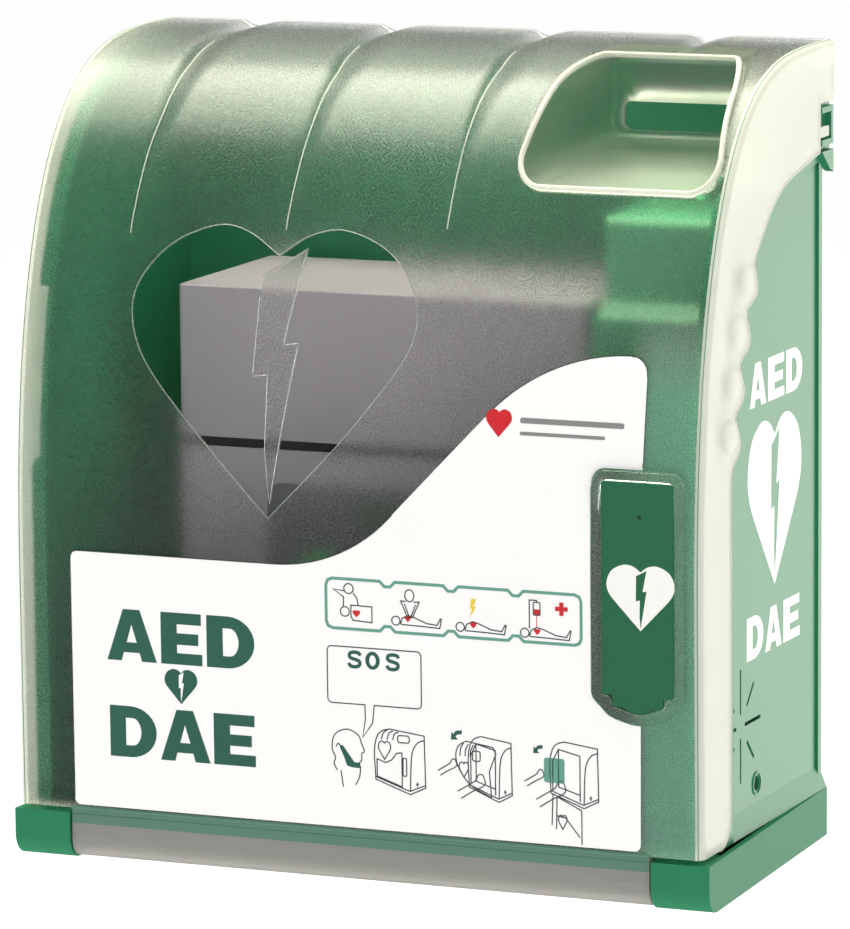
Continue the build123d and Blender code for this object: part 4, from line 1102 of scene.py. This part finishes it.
printed("label_mark", [[box_loop(92, 148, 245.2, 248.0, 1.0, 3)], [box_loop(92, 138, 239.2, 241.0, 0.7, 3)]],
        ink("grey_ink", (0.25, 0.25, 0.26), 0.05, 0.35))


SIGN_FACE = -200.1
SIDE_FACE = 181.8
KEY_FACE = -139.5


def on_sign(x, z, out):
    return (x, SIGN_FACE - out, z)


printed("sign_heart", [heart_shape(158.2, 177.4, 36.4, 33.2)], WHITE_INK, on_sign, 0.0, 0.08)


def on_side(y, z, out):
    return (SIDE_FACE + out, y, z)


def upright(name, y0, y1, z0, z1):
    """Three letters across the right side."""
    wide = (y1 - y0 - 6) / 3
    return [letter(c, y0 + i * (wide + 3), z0, wide, z1 - z0) for i, c in enumerate(name)]


printed("side_letters", upright("AED", -106, -27, 243.6, 266.2) + upright("DAE", -110.5, -30.5, 113.2, 135.6)
        + [heart_shape(-68.6, 234.0, 81.0, 87.2)], WHITE_INK, on_side, 0.0, 0.08, "cabinet", "casing")

# ---------------- marks on the defibrillator's keys


def on_key(x, z, out):
    return (x, KEY_FACE - out, z)


flash = [(28.6, 158.6), (21.8, 149.0), (25.6, 149.0), (23.4, 141.4), (30.4, 151.4), (26.6, 151.4)]
printed("shock_mark", [[flash]], WHITE_INK, on_key, 0.0, 0.08, "shock_button", "shock")
arc = [(-44 + 5.4 * sin(a), 149.4 + 5.4 * cos(a)) for a in np.linspace(0.55, 2 * pi - 0.55, 26)]
power = [stroke(arc, 1.5), stroke([(-44, 149.6), (-44, 156.2)], 1.5)]
printed("power_mark", power, WHITE_INK, on_key, 0.0, 0.08, "power_button", "power")

# ---------------- finishes for the CAD nodes

slots = {part["node"]: part["material_slot"] for part in frame["record"]["subparts"]}
for name, made in frame["nodes"].items():
    made.data.materials.clear()
    made.data.materials.append(FINISHES.get(name, FINISHES[slots[name]]))

# ---------------- floor, light, camera


def stage():
    size, level = 40.0, -0.85
    ground = [(-size, -size, level), (size, -size, level), (size, size, level), (-size, size, level)]
    mesh = bpy.data.meshes.new("floor")
    mesh.from_pydata(ground, [], [(0, 1, 2, 3)])
    made = added("floor", mesh)
    paint = plastic("floor_paint", (0.60, 0.60, 0.60), 0.8, 0.05, 3.0, 0.0, 0.003)
    paint.node_tree.nodes["Principled BSDF"].inputs["Emission Color"].default_value = (1, 1, 1, 1)
    paint.node_tree.nodes["Principled BSDF"].inputs["Emission Strength"].default_value = 0.9
    mesh.materials.append(paint)
    made.visible_glossy = False


def softbox(name, place, aim, width, height, power, colour=(1.0, 1.0, 1.0)):
    lamp = bpy.data.lights.new(name, "AREA")
    lamp.shape = "RECTANGLE"
    lamp.size, lamp.size_y = width, height
    lamp.energy = power
    lamp.color = colour
    made = added(name, lamp)
    made.visible_camera = False
    back = (Vector(place) - Vector(aim)).normalized()
    level = Vector((1, 0, 0)) if abs(back.x) < 0.8 else Vector((0, 1, 0))
    across = (level - back * level.dot(back)).normalized()
    turned = Matrix((across, back.cross(across), back)).transposed().to_4x4()
    made.matrix_world = Matrix.Translation(place) @ turned


stage()
AIM = (0.0, -0.1, 0.0)
softbox("top", (-0.20, 0.09, 1.90), AIM, 1.95, 1.6, 92.0, (1.0, 0.955, 0.80))
softbox("rear_right", (0.95, 1.65, -0.3), AIM, 1.0, 1.3, 15.0, (1.0, 0.98, 0.88))
softbox("right", (2.1, -1.5, 0.5), AIM, 1.3, 1.5, 17.0, (1.0, 1.0, 0.98))
softbox("left", (-2.2, -1.0, 0.4), AIM, 1.2, 1.5, 20.0, (1.0, 1.0, 0.98))
softbox("rear_left", (-2.2, 0.95, 0.3), AIM, 0.8, 1.8, 24.0, (1.0, 1.0, 0.95))
world = bpy.data.worlds.new("studio")
bpy.context.scene.world = world
world.use_nodes = True
world.node_tree.nodes["Background"].inputs["Color"].default_value = (0.96, 0.97, 0.97, 1)
world.node_tree.nodes["Background"].inputs["Strength"].default_value = 0.14
bpy.context.scene.view_settings.view_transform = "Standard"


def camera():
    turn, tilt, roll = radians(22.998), radians(9.557), radians(-0.485)
    back = Vector((sin(turn) * cos(tilt), -cos(turn) * cos(tilt), sin(tilt)))
    right = Vector((cos(turn), sin(turn), 0.0))
    up = back.cross(right)
    distance, left, down = 3379.2, 0.351, 7.551
    place = Vector(at(0.0, -100.5, 211.5)) + (back * distance - right * left - up * down) * MM
    across = cos(roll) * right + sin(roll) * up
    above = -sin(roll) * right + cos(roll) * up
    made = added("camera", bpy.data.cameras.new("camera"))
    made.data.lens = 251.1
    made.data.sensor_width = 36.0
    made.data.clip_end = 200.0
    made.matrix_world = Matrix.Translation(place) @ Matrix((across, above, back)).transposed().to_4x4()
    bpy.context.scene.camera = made


camera()
